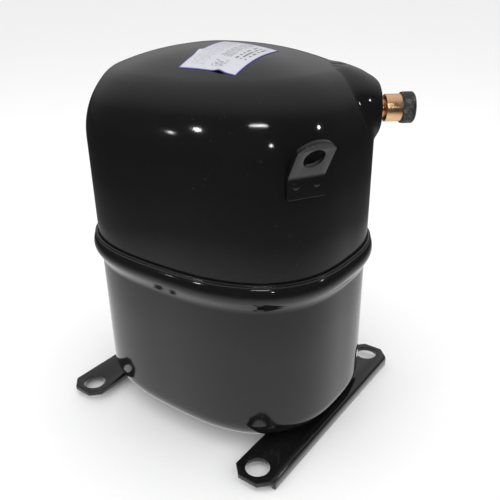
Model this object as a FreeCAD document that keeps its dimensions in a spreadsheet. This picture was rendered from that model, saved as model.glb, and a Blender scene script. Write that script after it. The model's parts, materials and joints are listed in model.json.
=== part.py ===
"""Hermetic reciprocating compressor, in millimetres.

+Z is up. The origin is the centre of the four mounting holes, on the underside of
the two mounting rails, where the grommets sit. X runs across the rails and Y runs
along them. The crankshaft is the vertical axis through the origin, and the
cylinders lie on +X.
"""
import FreeCAD, Part, Sketcher
import math
import os
from FreeCAD import Placement, Rotation, Vector

SIZES = {
    # shell plan: a rounded oval |x / half_x|^n + |y / half_y|^n = 1
    "shell_half_x": 116.4, "shell_half_y": 93.5, "plan_power": 2.66, "sheet": 3.6,
    "floor_level": 4, "floor_corner": 22, "lower_inset": 1, "seam_level": 152,
    "collar_rise": 4.5, "collar_foot": 128, "collar_crest": 143, "skirt_depth": 15,
    "shoulder_level": 237, "shoulder_radius": 72, "shoulder_angle": 41,
    "brow_radius": 30, "brow_angle": 65, "crown_rise": 16.4, "crown_power": 2.1,
    "bead_height": 3.4, "bead_width": 3.2,
    # mounting rails
    "hole_pitch": 190.5, "hole_radius": 9.75, "rail_outer": 115, "rail_inner": 78.6,
    "rail_end": 110, "rail_chamfer": 10.5, "rail_nose": 8.5, "rail_thick": 4, "rail_bend": 3,
    "rail_lip": 5,
    # lifting lugs
    "lug_normal": -29, "lug_width": 28.6, "lug_thick": 3, "lug_foot": 217, "lug_bend": 233.3,
    "lug_eye_height": 17.7, "lug_eye_radius": 7.7, "lug_lean": 32,
    # pipe stubs: neck through the wall, bead, step and a cup for the line
    "boss_angle": 38, "boss_reach": 117.5, "boss_side": -22.6, "boss_level": 259,
    "boss_foot": 30, "boss_face": 21, "boss_depth": 15,
    "suction_bore": 9.55, "suction_cup": 10.55, "suction_neck": 6.6, "suction_length": 24,
    "discharge_bore": 6.4, "discharge_cup": 7.4, "discharge_neck": 5, "discharge_length": 26,
    "discharge_normal": 165, "stub_level": 190, "stub_depth": 14, "stub_wall": 1.8,
    "stub_bead": 1.6, "step_start": 3.8, "cup_start": 5.4, "cup_floor": 8,
    "cap_wall": 1.55, "cap_long": 10, "cap_grip": 6.35,
    "process_normal": 128, "process_radius": 3.2, "process_inside": 9, "process_outside": 35,
    # terminal and its box, on the +Y wall
    "terminal_level": 200, "terminal_radius": 17, "terminal_face": 94.2, "terminal_deep": 6.5,
    "pin_circle": 8, "pin_radius": 1.6, "pin_long": 34, "glass_radius": 4,
    "plug_side": 26, "plug_deep": 9.5, "box_half_width": 32, "box_half_height": 35,
    "box_depth": 36, "box_sheet": 1.5, "cover_skirt": 10, "cover_gap": 0.4,
    "bail_wire": 1.2, "bail_out": 19, "bail_drop": 33, "bail_side": 4, "bail_bend": 2.2,
    # crank mechanism
    "stroke": 20, "bore": 40, "rod_length": 50, "lower_cylinder": 59, "upper_cylinder": 107,
    "shaft_radius": 12, "shaft_foot": 23, "lower_journal": 9, "crankpin_radius": 12,
    "cheek_radius": 15, "cheek_thick": 3.5, "collar_radius": 16, "collar_thick": 4.8,
    "oilway_radius": 2.5, "oilway_long": 110, "pickup_radius": 4.5, "pickup_long": 10,
    "ring_radius": 19.5, "big_end": 25, "small_end": 9, "rod_thick": 14, "small_end_thick": 12,
    "shank_wide": 12, "shank_thick": 9, "wrist_radius": 5, "wrist_long": 34,
    "running_gap": 0.05, "piston_skirt": 14, "piston_crown": 19.5, "piston_inside": 16.5,
    "piston_boss": 8.5, "boss_long": 11.5, "boss_start": 6.5, "groove_start": 13.5,
    "groove_width": 2, "groove_radius": 17.4, "pocket_deep": 1.7,
    # crankcase, cylinder head and valves
    "case_radius": 48, "cavity_radius": 38, "case_foot": 35, "case_top": 133, "cavity_top": 119,
    "flange_radius": 73, "flange_thick": 10, "hub_radius": 20, "hub_top": 155,
    "bush_radius": 15, "bearing_disc": 6, "bearing_hub": 17, "bearing_long": 12,
    "deck_x": 80.5, "deck_half_width": 34, "deck_top": 131,
    "gasket": 0.5, "valve_plate_thick": 5, "head_thick": 14.5, "head_roof": 3.5,
    "chamber_wide": 22, "chamber_side": 2, "reed_thick": 0.4, "reed_length": 22,
    "reed_width": 10, "reed_root": -13, "reed_side": 9, "port_rise": 4,
    "suction_port": 4, "discharge_port": 3.5, "stop_width": 9, "stop_lift": 2.4,
    "stop_thick": 1.2, "stop_foot": 5, "head_bolt_side": 29.5, "head_bolt_rise": 18,
    "bolt_radius": 2.5, "bolt_hole": 2.6, "bolt_cap": 4.6, "bolt_cap_high": 4, "bolt_bite": 14,
    "core_bolt_bite": 18, "core_bolt_cap": 5,
    # gas pipes
    "intake_radius": 6.5, "intake_bore": 5, "intake_long": 24, "head_port_x": 7.5,
    "head_port_y": 14, "muffler_x": 60, "muffler_y": 58, "muffler_foot": 83,
    "muffler_top": 119, "muffler_radius": 13, "muffler_wall": 1.2, "muffler_port": 4.5,
    "crossover_level": 145, "crossover_radius": 4, "loop_radius": 3.5, "tube_wall": 1,
    "loop_level": 263, "loop_arch": 10,
    # motor
    "core_foot": 167, "core_top": 247, "stator_radius": 73, "stator_bore": 38,
    "rotor_radius": 37.5, "winding_radius": 57, "winding_bore": 41, "winding_high": 19,
    "slot_count": 24, "slot_start": 41.8, "slot_long": 16.4, "slot_wide": 5.4,
    "coil_side": 0.4, "post_circle": 66, "post_radius": 6, "protector_radius": 7.5,
    "protector_high": 8, "protector_y": -49, "end_ring_radius": 37, "end_ring_bore": 24,
    "end_ring_high": 8, "weight_radius": 36, "weight_bore": 22, "weight_high": 8,
    "shaft_end": 12, "lead_pitch": 7, "lead_radius": 1.5, "lead_level": 257,
    # suspension
    "spring_x": 58, "spring_y": 46, "spring_foot": 11, "arm_level": 65, "arm_wide": 16,
    "arm_deep": 10, "arm_end": 11, "spigot_radius": 6, "upper_spigot": 14, "lower_spigot": 10,
    "seat_radius": 11.5, "coil_radius": 8.7, "spring_wire": 1.3, "spring_pitch": 6,
    # label on the crown
    "label_length": 49, "label_width": 57, "label_x": 26.4, "label_y": -28.5, "label_turn": 3,
    "label_thick": 0.2,
}

doc = FreeCAD.newDocument("Compressor")
sheet = doc.addObject("Spreadsheet::Sheet", "sizes")
for row, (alias, number) in enumerate(SIZES.items(), start=1):
    sheet.set(f"A{row}", alias.replace("_", " "))
    sheet.set(f"B{row}", str(number))
    sheet.setAlias(f"B{row}", alias)
doc.recompute()


class Size:
    """A length or angle that carries its number and the sheet formula behind it."""

    def __init__(self, value, text):
        self.value = value
        self.text = text

    def join(self, other, sign):
        """Combine with another size or a plain number."""
        right = other if isinstance(other, Size) else Size(float(other), repr(float(other)))
        results = {"+": self.value + right.value, "-": self.value - right.value}
        results["*"] = self.value * right.value
        results["/"] = self.value / right.value if right.value else 0.0
        return Size(results[sign], f"({self.text} {sign} {right.text})")

    def __add__(self, other):
        return self.join(other, "+")

    def __sub__(self, other):
        return self.join(other, "-")

    def __mul__(self, other):
        return self.join(other, "*")

    def __truediv__(self, other):
        return self.join(other, "/")

    def __neg__(self):
        return Size(-self.value, f"(-{self.text})")

    __radd__ = __add__
    __rmul__ = __mul__


class Sheet:
    """Every alias of the sheet as a Size."""

    def __getattr__(self, alias):
        return Size(float(sheet.get(alias)), f"sizes.{alias}")


S = Sheet()
ZERO = (0, 0, 0)
TO_X = Rotation(Vector(0, 1, 0), 90)
TO_Y = Rotation(Vector(1, 0, 0), -90)
UPRIGHT = Rotation()
NODES = []


# ---------------------------------------------------------------- helpers
def number(size):
    """The plain number behind a size."""
    return size.value if isinstance(size, Size) else float(size)


def bind(obj, prop, size):
    """Set a property from the sheet, or from a plain number."""
    if isinstance(size, Size):
        obj.setExpression(prop, size.text)
    elif "." not in prop:
        setattr(obj, prop, size)


def place(obj, at, turn=UPRIGHT):
    """Put an object at a point given by sizes, with a turn."""
    obj.Placement = Placement(Vector(*[number(v) for v in at]), turn)
    for axis, size in zip("xyz", at):
        bind(obj, f"Placement.Base.{axis}", size)
    return obj


def cylinder(name, radius, length, at=ZERO, turn=UPRIGHT):
    obj = doc.addObject("Part::Cylinder", name)
    bind(obj, "Radius", radius)
    bind(obj, "Height", length)
    return place(obj, at, turn)


def cone(name, radius, end_radius, length, at=ZERO, turn=UPRIGHT):
    obj = doc.addObject("Part::Cone", name)
    bind(obj, "Radius1", radius)
    bind(obj, "Radius2", end_radius)
    bind(obj, "Height", length)
    return place(obj, at, turn)


def box(name, size, at=ZERO, turn=UPRIGHT):
    """A box from its lowest corner."""
    obj = doc.addObject("Part::Box", name)
    for prop, length in zip(("Length", "Width", "Height"), size):
        bind(obj, prop, length)
    return place(obj, at, turn)


def fused(name, shapes):
    obj = doc.addObject("Part::MultiFuse", name)
    obj.Shapes = shapes
    return obj


def cut(name, base, tools):
    obj = doc.addObject("Part::Cut", name)
    obj.Base = base
    obj.Tool = tools[0] if len(tools) == 1 else fused(name + "_tools", tools)
    return obj


def group(name, shapes):
    """Separate solids that share one node."""
    obj = doc.addObject("Part::Compound", name)
    obj.Links = shapes
    return obj


def node(obj, label):
    """Keep an object as one sub-part under its own label."""
    obj.Label = label
    NODES.append(obj)
    return obj


def fixed_shape(label, shape, placement=None):
    """A sub-part whose shape comes from a formula."""
    obj = doc.addObject("Part::Feature", label + "_shape")
    obj.Shape = shape
    if placement is not None:
        obj.Placement = placement
    return obj


def find_plane(body, role):
    return next(f for f in body.Origin.OriginFeatures if f.Role == role)


def padded_sketch(body, name, role, outline, holes, thickness, lift=0):
    """Sketch an outline with round holes on an origin plane of the body, and pad it."""
    sketch = body.newObject("Sketcher::SketchObject", name + "_sketch")
    sketch.AttachmentSupport = [(find_plane(body, role), "")]
    sketch.MapMode = "FlatFace"
    bind(sketch, "AttachmentOffset.Base.z", lift)
    corners = [Vector(number(x), number(y), 0) for x, y in outline]
    count = len(corners)
    for i, corner in enumerate(corners):
        sketch.addGeometry(Part.LineSegment(corner, corners[(i + 1) % count]), False)
    for i in range(count):
        sketch.addConstraint(Sketcher.Constraint("Coincident", i, 2, (i + 1) % count, 1))
    for i, (x, y) in enumerate(outline):
        fix_point(sketch, i, 1, x, y, f"corner_{i}")
    for i, (x, y, radius) in enumerate(holes):
        centre = Vector(number(x), number(y), 0)
        sketch.addGeometry(Part.Circle(centre, Vector(0, 0, 1), number(radius)), False)
        fix_point(sketch, count + i, 3, x, y, f"hole_{i}")
        index = sketch.addConstraint(Sketcher.Constraint("Radius", count + i, number(radius)))
        name_constraint(sketch, index, f"hole_{i}_radius", radius)
    pad = body.newObject("PartDesign::Pad", name + "_pad")
    pad.Profile = sketch
    bind(pad, "Length", thickness)
    sketch.Visibility = False
    return pad


def fix_point(sketch, geometry, point, x, y, name):
    """Hold a sketch point at its distances from the sketch origin."""
    for kind, size in (("DistanceX", x), ("DistanceY", y)):
        constraint = Sketcher.Constraint(kind, -1, 1, geometry, point, number(size))
        index = sketch.addConstraint(constraint)
        name_constraint(sketch, index, f"{name}_{kind[-1].lower()}", size)


def name_constraint(sketch, index, name, size):
    sketch.renameConstraint(index, name)
    if isinstance(size, Size):
        sketch.setExpression(f"Constraints.{name}", size.text)


def plate(label, role, outline, holes, thickness, at=ZERO):
    """A flat plate as its own body."""
    body = doc.addObject("PartDesign::Body", label + "_body")
    padded_sketch(body, label, role, outline, holes, thickness)
    place(body, at)
    return node(body, label)


def rectangle(x0, y0, x1, y1):
    return [(x0, y0), (x1, y0), (x1, y1), (x0, y1)]


def bent_path(points, bend):
    """Straight runs joined by tangent arcs of one bend radius, or less on a short run."""
    edges = []
    start = points[0]
    for before, corner, after in zip(points, points[1:], points[2:]):
        back = (before - corner).normalize()
        ahead = (after - corner).normalize()
        half = (math.pi - back.getAngle(ahead)) / 2
        runs = min((before - corner).Length, (after - corner).Length)
        setback = min(bend * math.tan(half), 0.45 * runs)
        radius = setback / math.tan(half)
        middle = (back + ahead).normalize()
        centre = corner + middle * (radius / math.cos(half))
        inner = centre - middle * radius
        first, last = corner + back * setback, corner + ahead * setback
        edges.append(Part.LineSegment(start, first).toShape())
        edges.append(Part.Arc(first, inner, last).toShape())
        start = last
    edges.append(Part.LineSegment(start, points[-1]).toShape())
    return Part.Wire(edges)


def pipe_along(points, bend, radius, hollow=0.0):
    """A round rod, or a tube with its own inner radius, along a bent path."""
    path = bent_path(points, bend)
    direction = points[1] - points[0]
    solids = []
    for size in (radius, hollow):
        if size:
            ring = Part.Wire([Part.makeCircle(size, points[0], direction)])
            solids.append(path.makePipeShell([ring], True, True))
    return solids[0].cut(solids[1]) if hollow else solids[0]


# ---------------------------------------------------------------- shell formulas
def half_axes(inset):
    return S.shell_half_x.value - inset, S.shell_half_y.value - inset


def oval(half_x, half_y, level, count=24):
    """One level of the shell as a closed smooth curve."""
    power = S.plan_power.value
    points = []
    for i in range(count):
        turn = 2 * math.pi * i / count
        across, along = math.cos(turn), math.sin(turn)
        reach = (abs(across / half_x) ** power + abs(along / half_y) ** power) ** (-1 / power)
        points.append(Vector(reach * across, reach * along, level))
    curve = Part.BSplineCurve()
    curve.interpolate(points, PeriodicFlag=True)
    return Part.Wire([curve.toShape()])


def loft(levels):
    """A solid through ovals given as (half_x, half_y, level)."""
    return Part.makeLoft([oval(*level) for level in levels], True, True)


def wall_point(normal_deg, inset=0.0):
    """The point of the shell wall whose outward normal has this direction in plan."""
    half_x, half_y = half_axes(inset)
    power = S.plan_power.value
    turn = math.radians(normal_deg)
    pull_x = half_x * math.cos(turn)
    pull_y = half_y * math.sin(turn)
    share = 1 / (power - 1)
    total = (abs(pull_x) ** (power * share) + abs(pull_y) ** (power * share)) ** (1 / power)
    x = math.copysign(half_x * abs(pull_x) ** share / total, pull_x)
    y = math.copysign(half_y * abs(pull_y) ** share / total, pull_y)
    return Vector(x, y, 0)


def brow_level():
    """Half axes and level of the oval where the crown starts, on the outer face."""
    turn_1, turn_2 = math.radians(S.shoulder_angle.value), math.radians(S.brow_angle.value)
    reach = S.shoulder_radius.value - S.brow_radius.value
    inset = S.shoulder_radius.value - reach * math.cos(turn_1)
    inset -= S.brow_radius.value * math.cos(turn_2)
    rise = reach * math.sin(turn_1) + S.brow_radius.value * math.sin(turn_2)
    return (*half_axes(inset), S.shoulder_level.value + rise)


def dome_levels(depth, foot, steps=6):
    """Levels of the upper shell, at a depth inside its outer face."""
    big, small = S.shoulder_radius.value - depth, S.brow_radius.value - depth
    turn_1, turn_2 = math.radians(S.shoulder_angle.value), math.radians(S.brow_angle.value)
    reach = S.shoulder_radius.value - S.brow_radius.value
    half_x, half_y = half_axes(0)
    levels = [(half_x - depth, half_y - depth, foot)]
    for i in range(steps + 1):
        turn = turn_1 * i / steps
        inset = S.shoulder_radius.value - big * math.cos(turn)
        rise = S.shoulder_level.value + big * math.sin(turn)
        levels.append((half_x - inset, half_y - inset, rise))
    for i in range(1, 4):
        turn = turn_1 + (turn_2 - turn_1) * i / 3
        inset = S.shoulder_radius.value - reach * math.cos(turn_1) - small * math.cos(turn)
        rise = S.shoulder_level.value + reach * math.sin(turn_1) + small * math.sin(turn)
        levels.append((half_x - inset, half_y - inset, rise))
    brow_x, brow_y, brow = levels[-1]
    lift = S.crown_rise.value + depth * math.sin(turn_2) - depth
    for ratio in (0.88, 0.74, 0.58, 0.4, 0.2):
        rise = brow + lift * (1 - ratio ** S.crown_power.value)
        levels.append((brow_x * ratio, brow_y * ratio, rise))
    return levels


def ease(start, end, steps):
    """Steps of a smooth change from 0 at start to 1 at end."""
    for i in range(steps + 1):
        share = i / steps
        yield start + (end - start) * share, (1 - math.cos(math.pi * share)) / 2


def lower_outer_levels():
    """Outside of the lower shell: rounded floor, wall and flared collar."""
    floor, corner, inset = S.floor_level.value, S.floor_corner.value, S.lower_inset.value
    levels = []
    for i in range(9):
        turn = math.radians(90 * i / 8)
        step = inset + corner * (1 - math.sin(turn))
        levels.append((*half_axes(step), floor + corner * (1 - math.cos(turn))))
    rise = S.collar_rise.value + inset
    for level, share in ease(S.collar_foot.value, S.collar_crest.value, 7):
        levels.append((*half_axes(inset - rise * share), level))
    crest, seam = S.collar_crest.value, S.seam_level.value
    for i in range(1, 6):
        turn = math.radians(90 * i / 5)
        step = -S.collar_rise.value + 3.6 * (1 - math.cos(turn))
        levels.append((*half_axes(step), crest + (seam - crest) * math.sin(turn)))
    return levels


def lower_inner_levels():
    """Inside of the lower shell, wide enough in its collar for the upper shell's skirt."""
    floor = S.floor_level.value + S.sheet.value
    corner = S.floor_corner.value - S.sheet.value
    inset = S.lower_inset.value + S.sheet.value
    levels = []
    for i in range(7):
        turn = math.radians(90 * i / 6)
        step = inset + corner * (1 - math.sin(turn))
        levels.append((*half_axes(step), floor + corner * (1 - math.cos(turn))))
    skirt_foot = S.seam_level.value - S.skirt_depth.value
    for level, share in ease(skirt_foot - 7, skirt_foot - 0.5, 4):
        levels.append((*half_axes(inset - (inset + 0.1) * share), level))
    levels.append((*half_axes(-0.1), S.seam_level.value + 1))
    return levels


def along(direction_deg, point, roll=0.0):
    """Placement with local Z pointing outwards in plan at an angle."""
    turn = math.radians(direction_deg)
    outward = Vector(math.cos(turn), math.sin(turn), 0)
    side = Vector(-outward.y, outward.x, 0)
    up = Vector(0, 0, 1)
    rotation = Rotation(side, up, outward, "ZXY")
    return Placement(point, rotation.multiply(Rotation(Vector(0, 0, 1), roll)))


def boss_frame():
    """Placement on the centre of the suction boss's flat face."""
    turn = S.boss_angle.value
    outward = Vector(math.cos(math.radians(turn)), math.sin(math.radians(turn)), 0)
    side = Vector(-outward.y, outward.x, 0)
    point = outward * S.boss_reach.value + side * S.boss_side.value
    return along(turn, point + Vector(0, 0, S.boss_level.value))


def stub_frame(normal, stand_off):
    """Placement just outside the wall at the level of the rear stubs."""
    turn = math.radians(normal)
    outward = Vector(math.cos(turn), math.sin(turn), 0)
    point = wall_point(normal) + outward * stand_off
    return along(normal, point + Vector(0, 0, S.stub_level.value))


# ---------------------------------------------------------------- casing
def make_lower_shell():
    outer = fixed_shape("lower_outer", loft(lower_outer_levels()))
    inner = fixed_shape("lower_inner", loft(lower_inner_levels()))
    node(cut("lower_shell", outer, [inner]), "lower_shell")


def make_upper_shell():
    foot = (S.seam_level - S.skirt_depth).value
    outer = fixed_shape("upper_outer", loft(dome_levels(0, foot)))
    boss = cone("suction_boss", S.boss_foot, S.boss_face, S.boss_depth)
    frame = boss_frame()
    boss.Placement = frame.multiply(Placement(Vector(0, 0, -S.boss_depth.value), UPRIGHT))
    inner = fixed_shape("upper_inner", loft(dome_levels(S.sheet.value, foot - 1)))
    holes = []
    for name, radius, place_at in (
            ("suction_hole", S.suction_neck, frame),
            ("discharge_hole", S.discharge_neck, stub_frame(S.discharge_normal.value, 0)),
            ("process_hole", S.process_radius, stub_frame(S.process_normal.value, 0))):
        hole = cylinder(name, radius + S.running_gap, 60)
        hole.Placement = place_at.multiply(Placement(Vector(0, 0, -30), UPRIGHT))
        holes.append(hole)
    holes.append(cylinder("terminal_hole", S.terminal_radius + S.running_gap, 20,
                          (0, S.shell_half_y - 10, S.terminal_level), TO_Y))
    whole = fused("upper_whole", [outer, boss])
    node(cut("upper_shell", whole, [inner] + holes), "upper_shell")


def make_weld_bead():
    seam, height, width = S.seam_level.value + 0.02, S.bead_height.value, S.bead_width.value
    levels = []
    for i in range(5):
        turn = math.radians(75 * i / 4)
        levels.append((*half_axes(-width * math.cos(turn) + 0.1), seam + height * math.sin(turn)))
    hollow = [(*half_axes(-0.05), seam - 1), (*half_axes(-0.05), seam + height + 1)]
    outer = fixed_shape("bead_outer", loft(levels))
    inner = fixed_shape("bead_inner", loft(hollow))
    node(cut("shell_weld_bead", outer, [inner]), "shell_weld_bead")


def make_rail(label, side):
    """One mounting rail: an eight-cornered flat strip with its outer edge turned down."""
    outer, inner = S.rail_outer * side, S.rail_inner * side
    chamfer, nose = S.rail_chamfer * side, S.rail_nose * side
    end = S.rail_end
    quarter = [(inner, end - S.rail_nose), (inner + nose, end),
               (outer - chamfer, end), (outer, end - S.rail_chamfer)]
    outline = quarter + [(x, -y) for x, y in reversed(quarter)]
    holes = [(S.hole_pitch / 2 * side, S.hole_pitch / 2 * way, S.hole_radius) for way in (-1, 1)]
    body = doc.addObject("PartDesign::Body", label + "_body")
    pad = padded_sketch(body, label, "XY_Plane", outline, holes, S.rail_thick)
    round_outer_edge(body, pad, label)
    lip_in = outer - S.rail_thick * side
    lip_end = end - S.rail_chamfer
    lip = rectangle(lip_in, -lip_end, outer, lip_end)
    padded_sketch(body, label + "_lip", "XY_Plane", lip, [], S.rail_lip + 0.5, -S.rail_lip)
    node(body, label)


def round_outer_edge(body, pad, label):
    """Round the upper outer edge of a rail, where the strip is bent down."""
    doc.recompute()
    top = S.floor_level.value
    edges = [f"Edge{i}" for i, e in enumerate(pad.Shape.Edges, start=1)
             if e.Length > 150 and all(abs(v.Z - top) < 0.01 for v in e.Vertexes)
             and all(abs(abs(v.X) - S.rail_outer.value) < 0.01 for v in e.Vertexes)]
    fillet = body.newObject("PartDesign::Fillet", label + "_bend")
    fillet.Base = (pad, edges)
    bind(fillet, "Radius", S.rail_bend)
    doc.recompute()


def make_lug(label, normal):
    """A bent lifting lug: flat foot on the wall, eye leaning outwards above the bend."""
    half = S.lug_width / 2
    thick = S.lug_thick
    foot = box(label + "_foot", (S.lug_width, thick, S.lug_bend - S.lug_foot),
               (-half, 0, S.lug_foot - S.lug_bend))
    strip = box(label + "_strip", (S.lug_width, thick, S.lug_eye_height), (-half, 0, 0))
    top = cylinder(label + "_top", half, thick, (0, 0, S.lug_eye_height), TO_Y)
    eye = cylinder(label + "_eye", S.lug_eye_radius, thick + 2, (0, -1, S.lug_eye_height), TO_Y)
    lean = Rotation(Vector(1, 0, 0), -S.lug_lean.value)
    tab = cut(label + "_tab", fused(label + "_blank", [strip, top]), [eye])
    tab.Placement = Placement(Vector(0, 0, 0), lean)
    bend = cylinder(label + "_bend", thick, S.lug_width, (-half, 0, 0), TO_X)
    wedge = box(label + "_wedge", (S.lug_width, thick, thick * 2), (-half, 0, -thick))
    knee = doc.addObject("Part::MultiCommon", label + "_knee")
    knee.Shapes = [bend, wedge]
    lug = fused(label, [foot, tab, knee])
    turn = math.radians(normal)
    outward = Vector(math.cos(turn), math.sin(turn), 0)
    across = Vector(outward.y, -outward.x, 0)
    point = wall_point(normal, -0.25) + Vector(0, 0, S.lug_bend.value)
    lug.Placement = Placement(point, Rotation(across, outward, Vector(0, 0, 1), "ZXY"))
    node(lug, label)


def make_stub(label, frame, neck, cup, bore, length):
    """A pipe stub: narrow neck through the shell, a bead, and a cup for the line."""
    depth = S.stub_depth
    shank = cylinder(label + "_shank", neck, depth + S.cup_start + 0.6, (0, 0, -depth))
    bead = cylinder(label + "_bead", neck + 0.9, S.stub_bead, (0, 0, 1))
    step = cone(label + "_step", neck + 0.5, cup - 0.6, S.cup_start - S.step_start,
                (0, 0, S.step_start))
    socket = cylinder(label + "_socket", cup, length - S.cup_start, (0, 0, S.cup_start))
    passage = cylinder(label + "_passage", neck - S.stub_wall, depth + length, (0, 0, -depth - 1))
    mouth = cylinder(label + "_mouth", bore, length - S.cup_floor + 1, (0, 0, S.cup_floor))
    stub = cut(label, fused(label + "_blank", [shank, bead, step, socket]), [passage, mouth])
    stub.Placement = frame
    node(stub, label)


def make_cap(label, frame, cup, length):
    """A rubber cap that pushes over the end of a stub."""
    foot = length + S.running_gap - S.cap_grip
    skirt = cylinder(label + "_skirt", cup + S.cap_wall, S.cap_long, (0, 0, foot))
    inside = cylinder(label + "_inside", cup + S.running_gap, S.cap_grip + 1, (0, 0, foot - 1))
    cap = cut(label, skirt, [inside])
    cap.Placement = frame
    node(cap, label)


def make_process_tube():
    radius = S.process_radius
    inside, outside = S.process_inside, S.process_outside
    tube = cylinder("process_run", radius, inside + outside, (0, 0, -inside))
    tip = cone("process_tip", radius, radius * 0.35, 6, (0, 0, outside))
    hollow = cylinder("process_hollow", radius - 0.8, outside + 5, (0, 0, -inside - 1))
    whole = cut("process_tube", fused("process_blank", [tube, tip]), [hollow])
    whole.Placement = stub_frame(S.process_normal.value, 0.3)
    node(whole, "process_tube")


def make_terminal():
    """Hermetic terminal: pressed cup, three glass seals and three pins, with the inner plug."""
    level = S.terminal_level
    face = S.shell_half_y
    deep = S.terminal_deep
    spots = []
    for i in range(3):
        turn = math.radians(90 + 120 * i)
        spots.append((S.pin_circle * math.cos(turn), level + S.pin_circle * math.sin(turn)))
    cup = cylinder("terminal_cup", S.terminal_radius, deep + 0.5, (0, face - deep, level), TO_Y)
    rim = cylinder("terminal_rim", S.terminal_radius + 3, 2, (0, face - deep, level), TO_Y)
    holes = [cylinder(f"glass_hole_{i}", S.glass_radius, deep * 2, (x, face - deep - 1, z), TO_Y)
             for i, (x, z) in enumerate(spots)]
    node(cut("terminal_body", fused("terminal_blank", [cup, rim]), holes), "terminal_body")
    plug_y = face - deep - S.plug_deep - 0.2
    beads = []
    pins = []
    pin_holes = []
    for i, (x, z) in enumerate(spots):
        outer = cylinder(f"glass_{i}", S.glass_radius, deep + 0.5, (x, face - deep, z), TO_Y)
        inner = cylinder(f"glass_bore_{i}", S.pin_radius, deep * 2, (x, face - deep - 1, z), TO_Y)
        beads.append(cut(f"glass_bead_{i}", outer, [inner]))
        pins.append(cylinder(f"pin_{i}", S.pin_radius, S.pin_long, (x, plug_y + 2.2, z), TO_Y))
        pin_holes.append(cylinder(f"plug_hole_{i}", S.pin_radius + S.running_gap, S.plug_deep,
                                  (x, plug_y + 2, z), TO_Y))
    node(group("terminal_glass_seals", beads), "terminal_glass_seals")
    node(group("terminal_pins", pins), "terminal_pins")
    side = S.plug_side
    plug = box("plug_block", (side, S.plug_deep, side), (-side / 2, plug_y, level - side / 2))
    node(cut("cluster_plug", plug, pin_holes), "cluster_plug")


def make_terminal_box():
    """Sheet-metal box around the terminal, its lift-off cover and the wire bail."""
    wide, high, deep = S.box_half_width, S.box_half_height, S.box_depth
    wall, level, back = S.box_sheet, S.terminal_level, S.terminal_face
    outer = box("fence_outer", (wide * 2, deep, high * 2), (-wide, back, level - high))
    inner = box("fence_inner", ((wide - wall) * 2, deep, (high - wall) * 2),
                (-wide + wall, back + wall, level - high + wall))
    window = cylinder("fence_window", S.terminal_radius + 5, 6, (0, back - 1, level), TO_Y)
    pivot = cylinder("fence_pivot", S.bail_wire + S.running_gap, wide * 2 + 2,
                     (-wide - 1, back + S.bail_out, level - S.bail_drop), TO_X)
    node(cut("terminal_box", outer, [inner, window, pivot]), "terminal_box")
    gap = S.cover_gap
    lid_wide, lid_high = wide + gap + wall, high + gap + wall
    front = back + deep + 0.2
    shell_box = box("cover_outer", (lid_wide * 2, S.cover_skirt + wall, lid_high * 2),
                    (-lid_wide, front - S.cover_skirt, level - lid_high))
    hollow = box("cover_inner", ((wide + gap) * 2, S.cover_skirt, (high + gap) * 2),
                 (-wide - gap, front - S.cover_skirt, level - high - gap))
    node(cut("terminal_cover", shell_box, [hollow]), "terminal_cover")
    make_bail((front + wall).value + 1.8)


def make_bail(bar_y):
    """The wire bail: it pivots in the box's side walls and lies over the cover."""
    reach = (S.box_half_width + S.bail_side).value
    inner_end = S.box_half_width.value - S.bail_wire.value
    bar_z = S.terminal_level.value
    pivot_y, pivot_z = (S.terminal_face + S.bail_out).value, bar_z - S.bail_drop.value
    route = [Vector(inner_end, pivot_y, pivot_z), Vector(reach, pivot_y, pivot_z),
             Vector(reach, bar_y, bar_z), Vector(-reach, bar_y, bar_z),
             Vector(-reach, pivot_y, pivot_z), Vector(-inner_end, pivot_y, pivot_z)]
    wire = pipe_along(route, S.bail_bend.value, S.bail_wire.value)
    node(fixed_shape("terminal_bail", wire), "terminal_bail")


def crown_height(x, y):
    """Height of the crown above a point in plan."""
    brow_x, brow_y, brow = brow_level()
    power = S.plan_power.value
    ratio = ((abs(x) / brow_x) ** power + (abs(y) / brow_y) ** power) ** (1 / power)
    return brow + S.crown_rise.value * (1 - ratio ** S.crown_power.value)


def make_label():
    """A thin adhesive label that follows the crown."""
    turn = math.radians(S.label_turn.value)
    middle = Vector(S.label_x.value, S.label_y.value, 0)
    rows = []
    for i in range(9):
        run = S.label_length.value * (i / 8 - 0.5)
        row = []
        for j in range(7):
            step = S.label_width.value * (j / 6 - 0.5)
            x = middle.x + run * math.cos(turn) - step * math.sin(turn)
            y = middle.y + run * math.sin(turn) + step * math.cos(turn)
            row.append(Vector(x, y, crown_height(x, y) + 0.06))
        rows.append(row)
    surface = Part.BSplineSurface()
    surface.interpolate(rows)
    sheet_solid = surface.toShape().extrude(Vector(0, 0, S.label_thick.value))
    node(fixed_shape("label", sheet_solid), "label")


# ---------------------------------------------------------------- pump frame
def corners(x, y):
    return [(x * i, y * j) for i in (-1, 1) for j in (-1, 1)]


def post_spots():
    offset = S.post_circle * math.sqrt(0.5)
    return corners(offset, offset)


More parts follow.
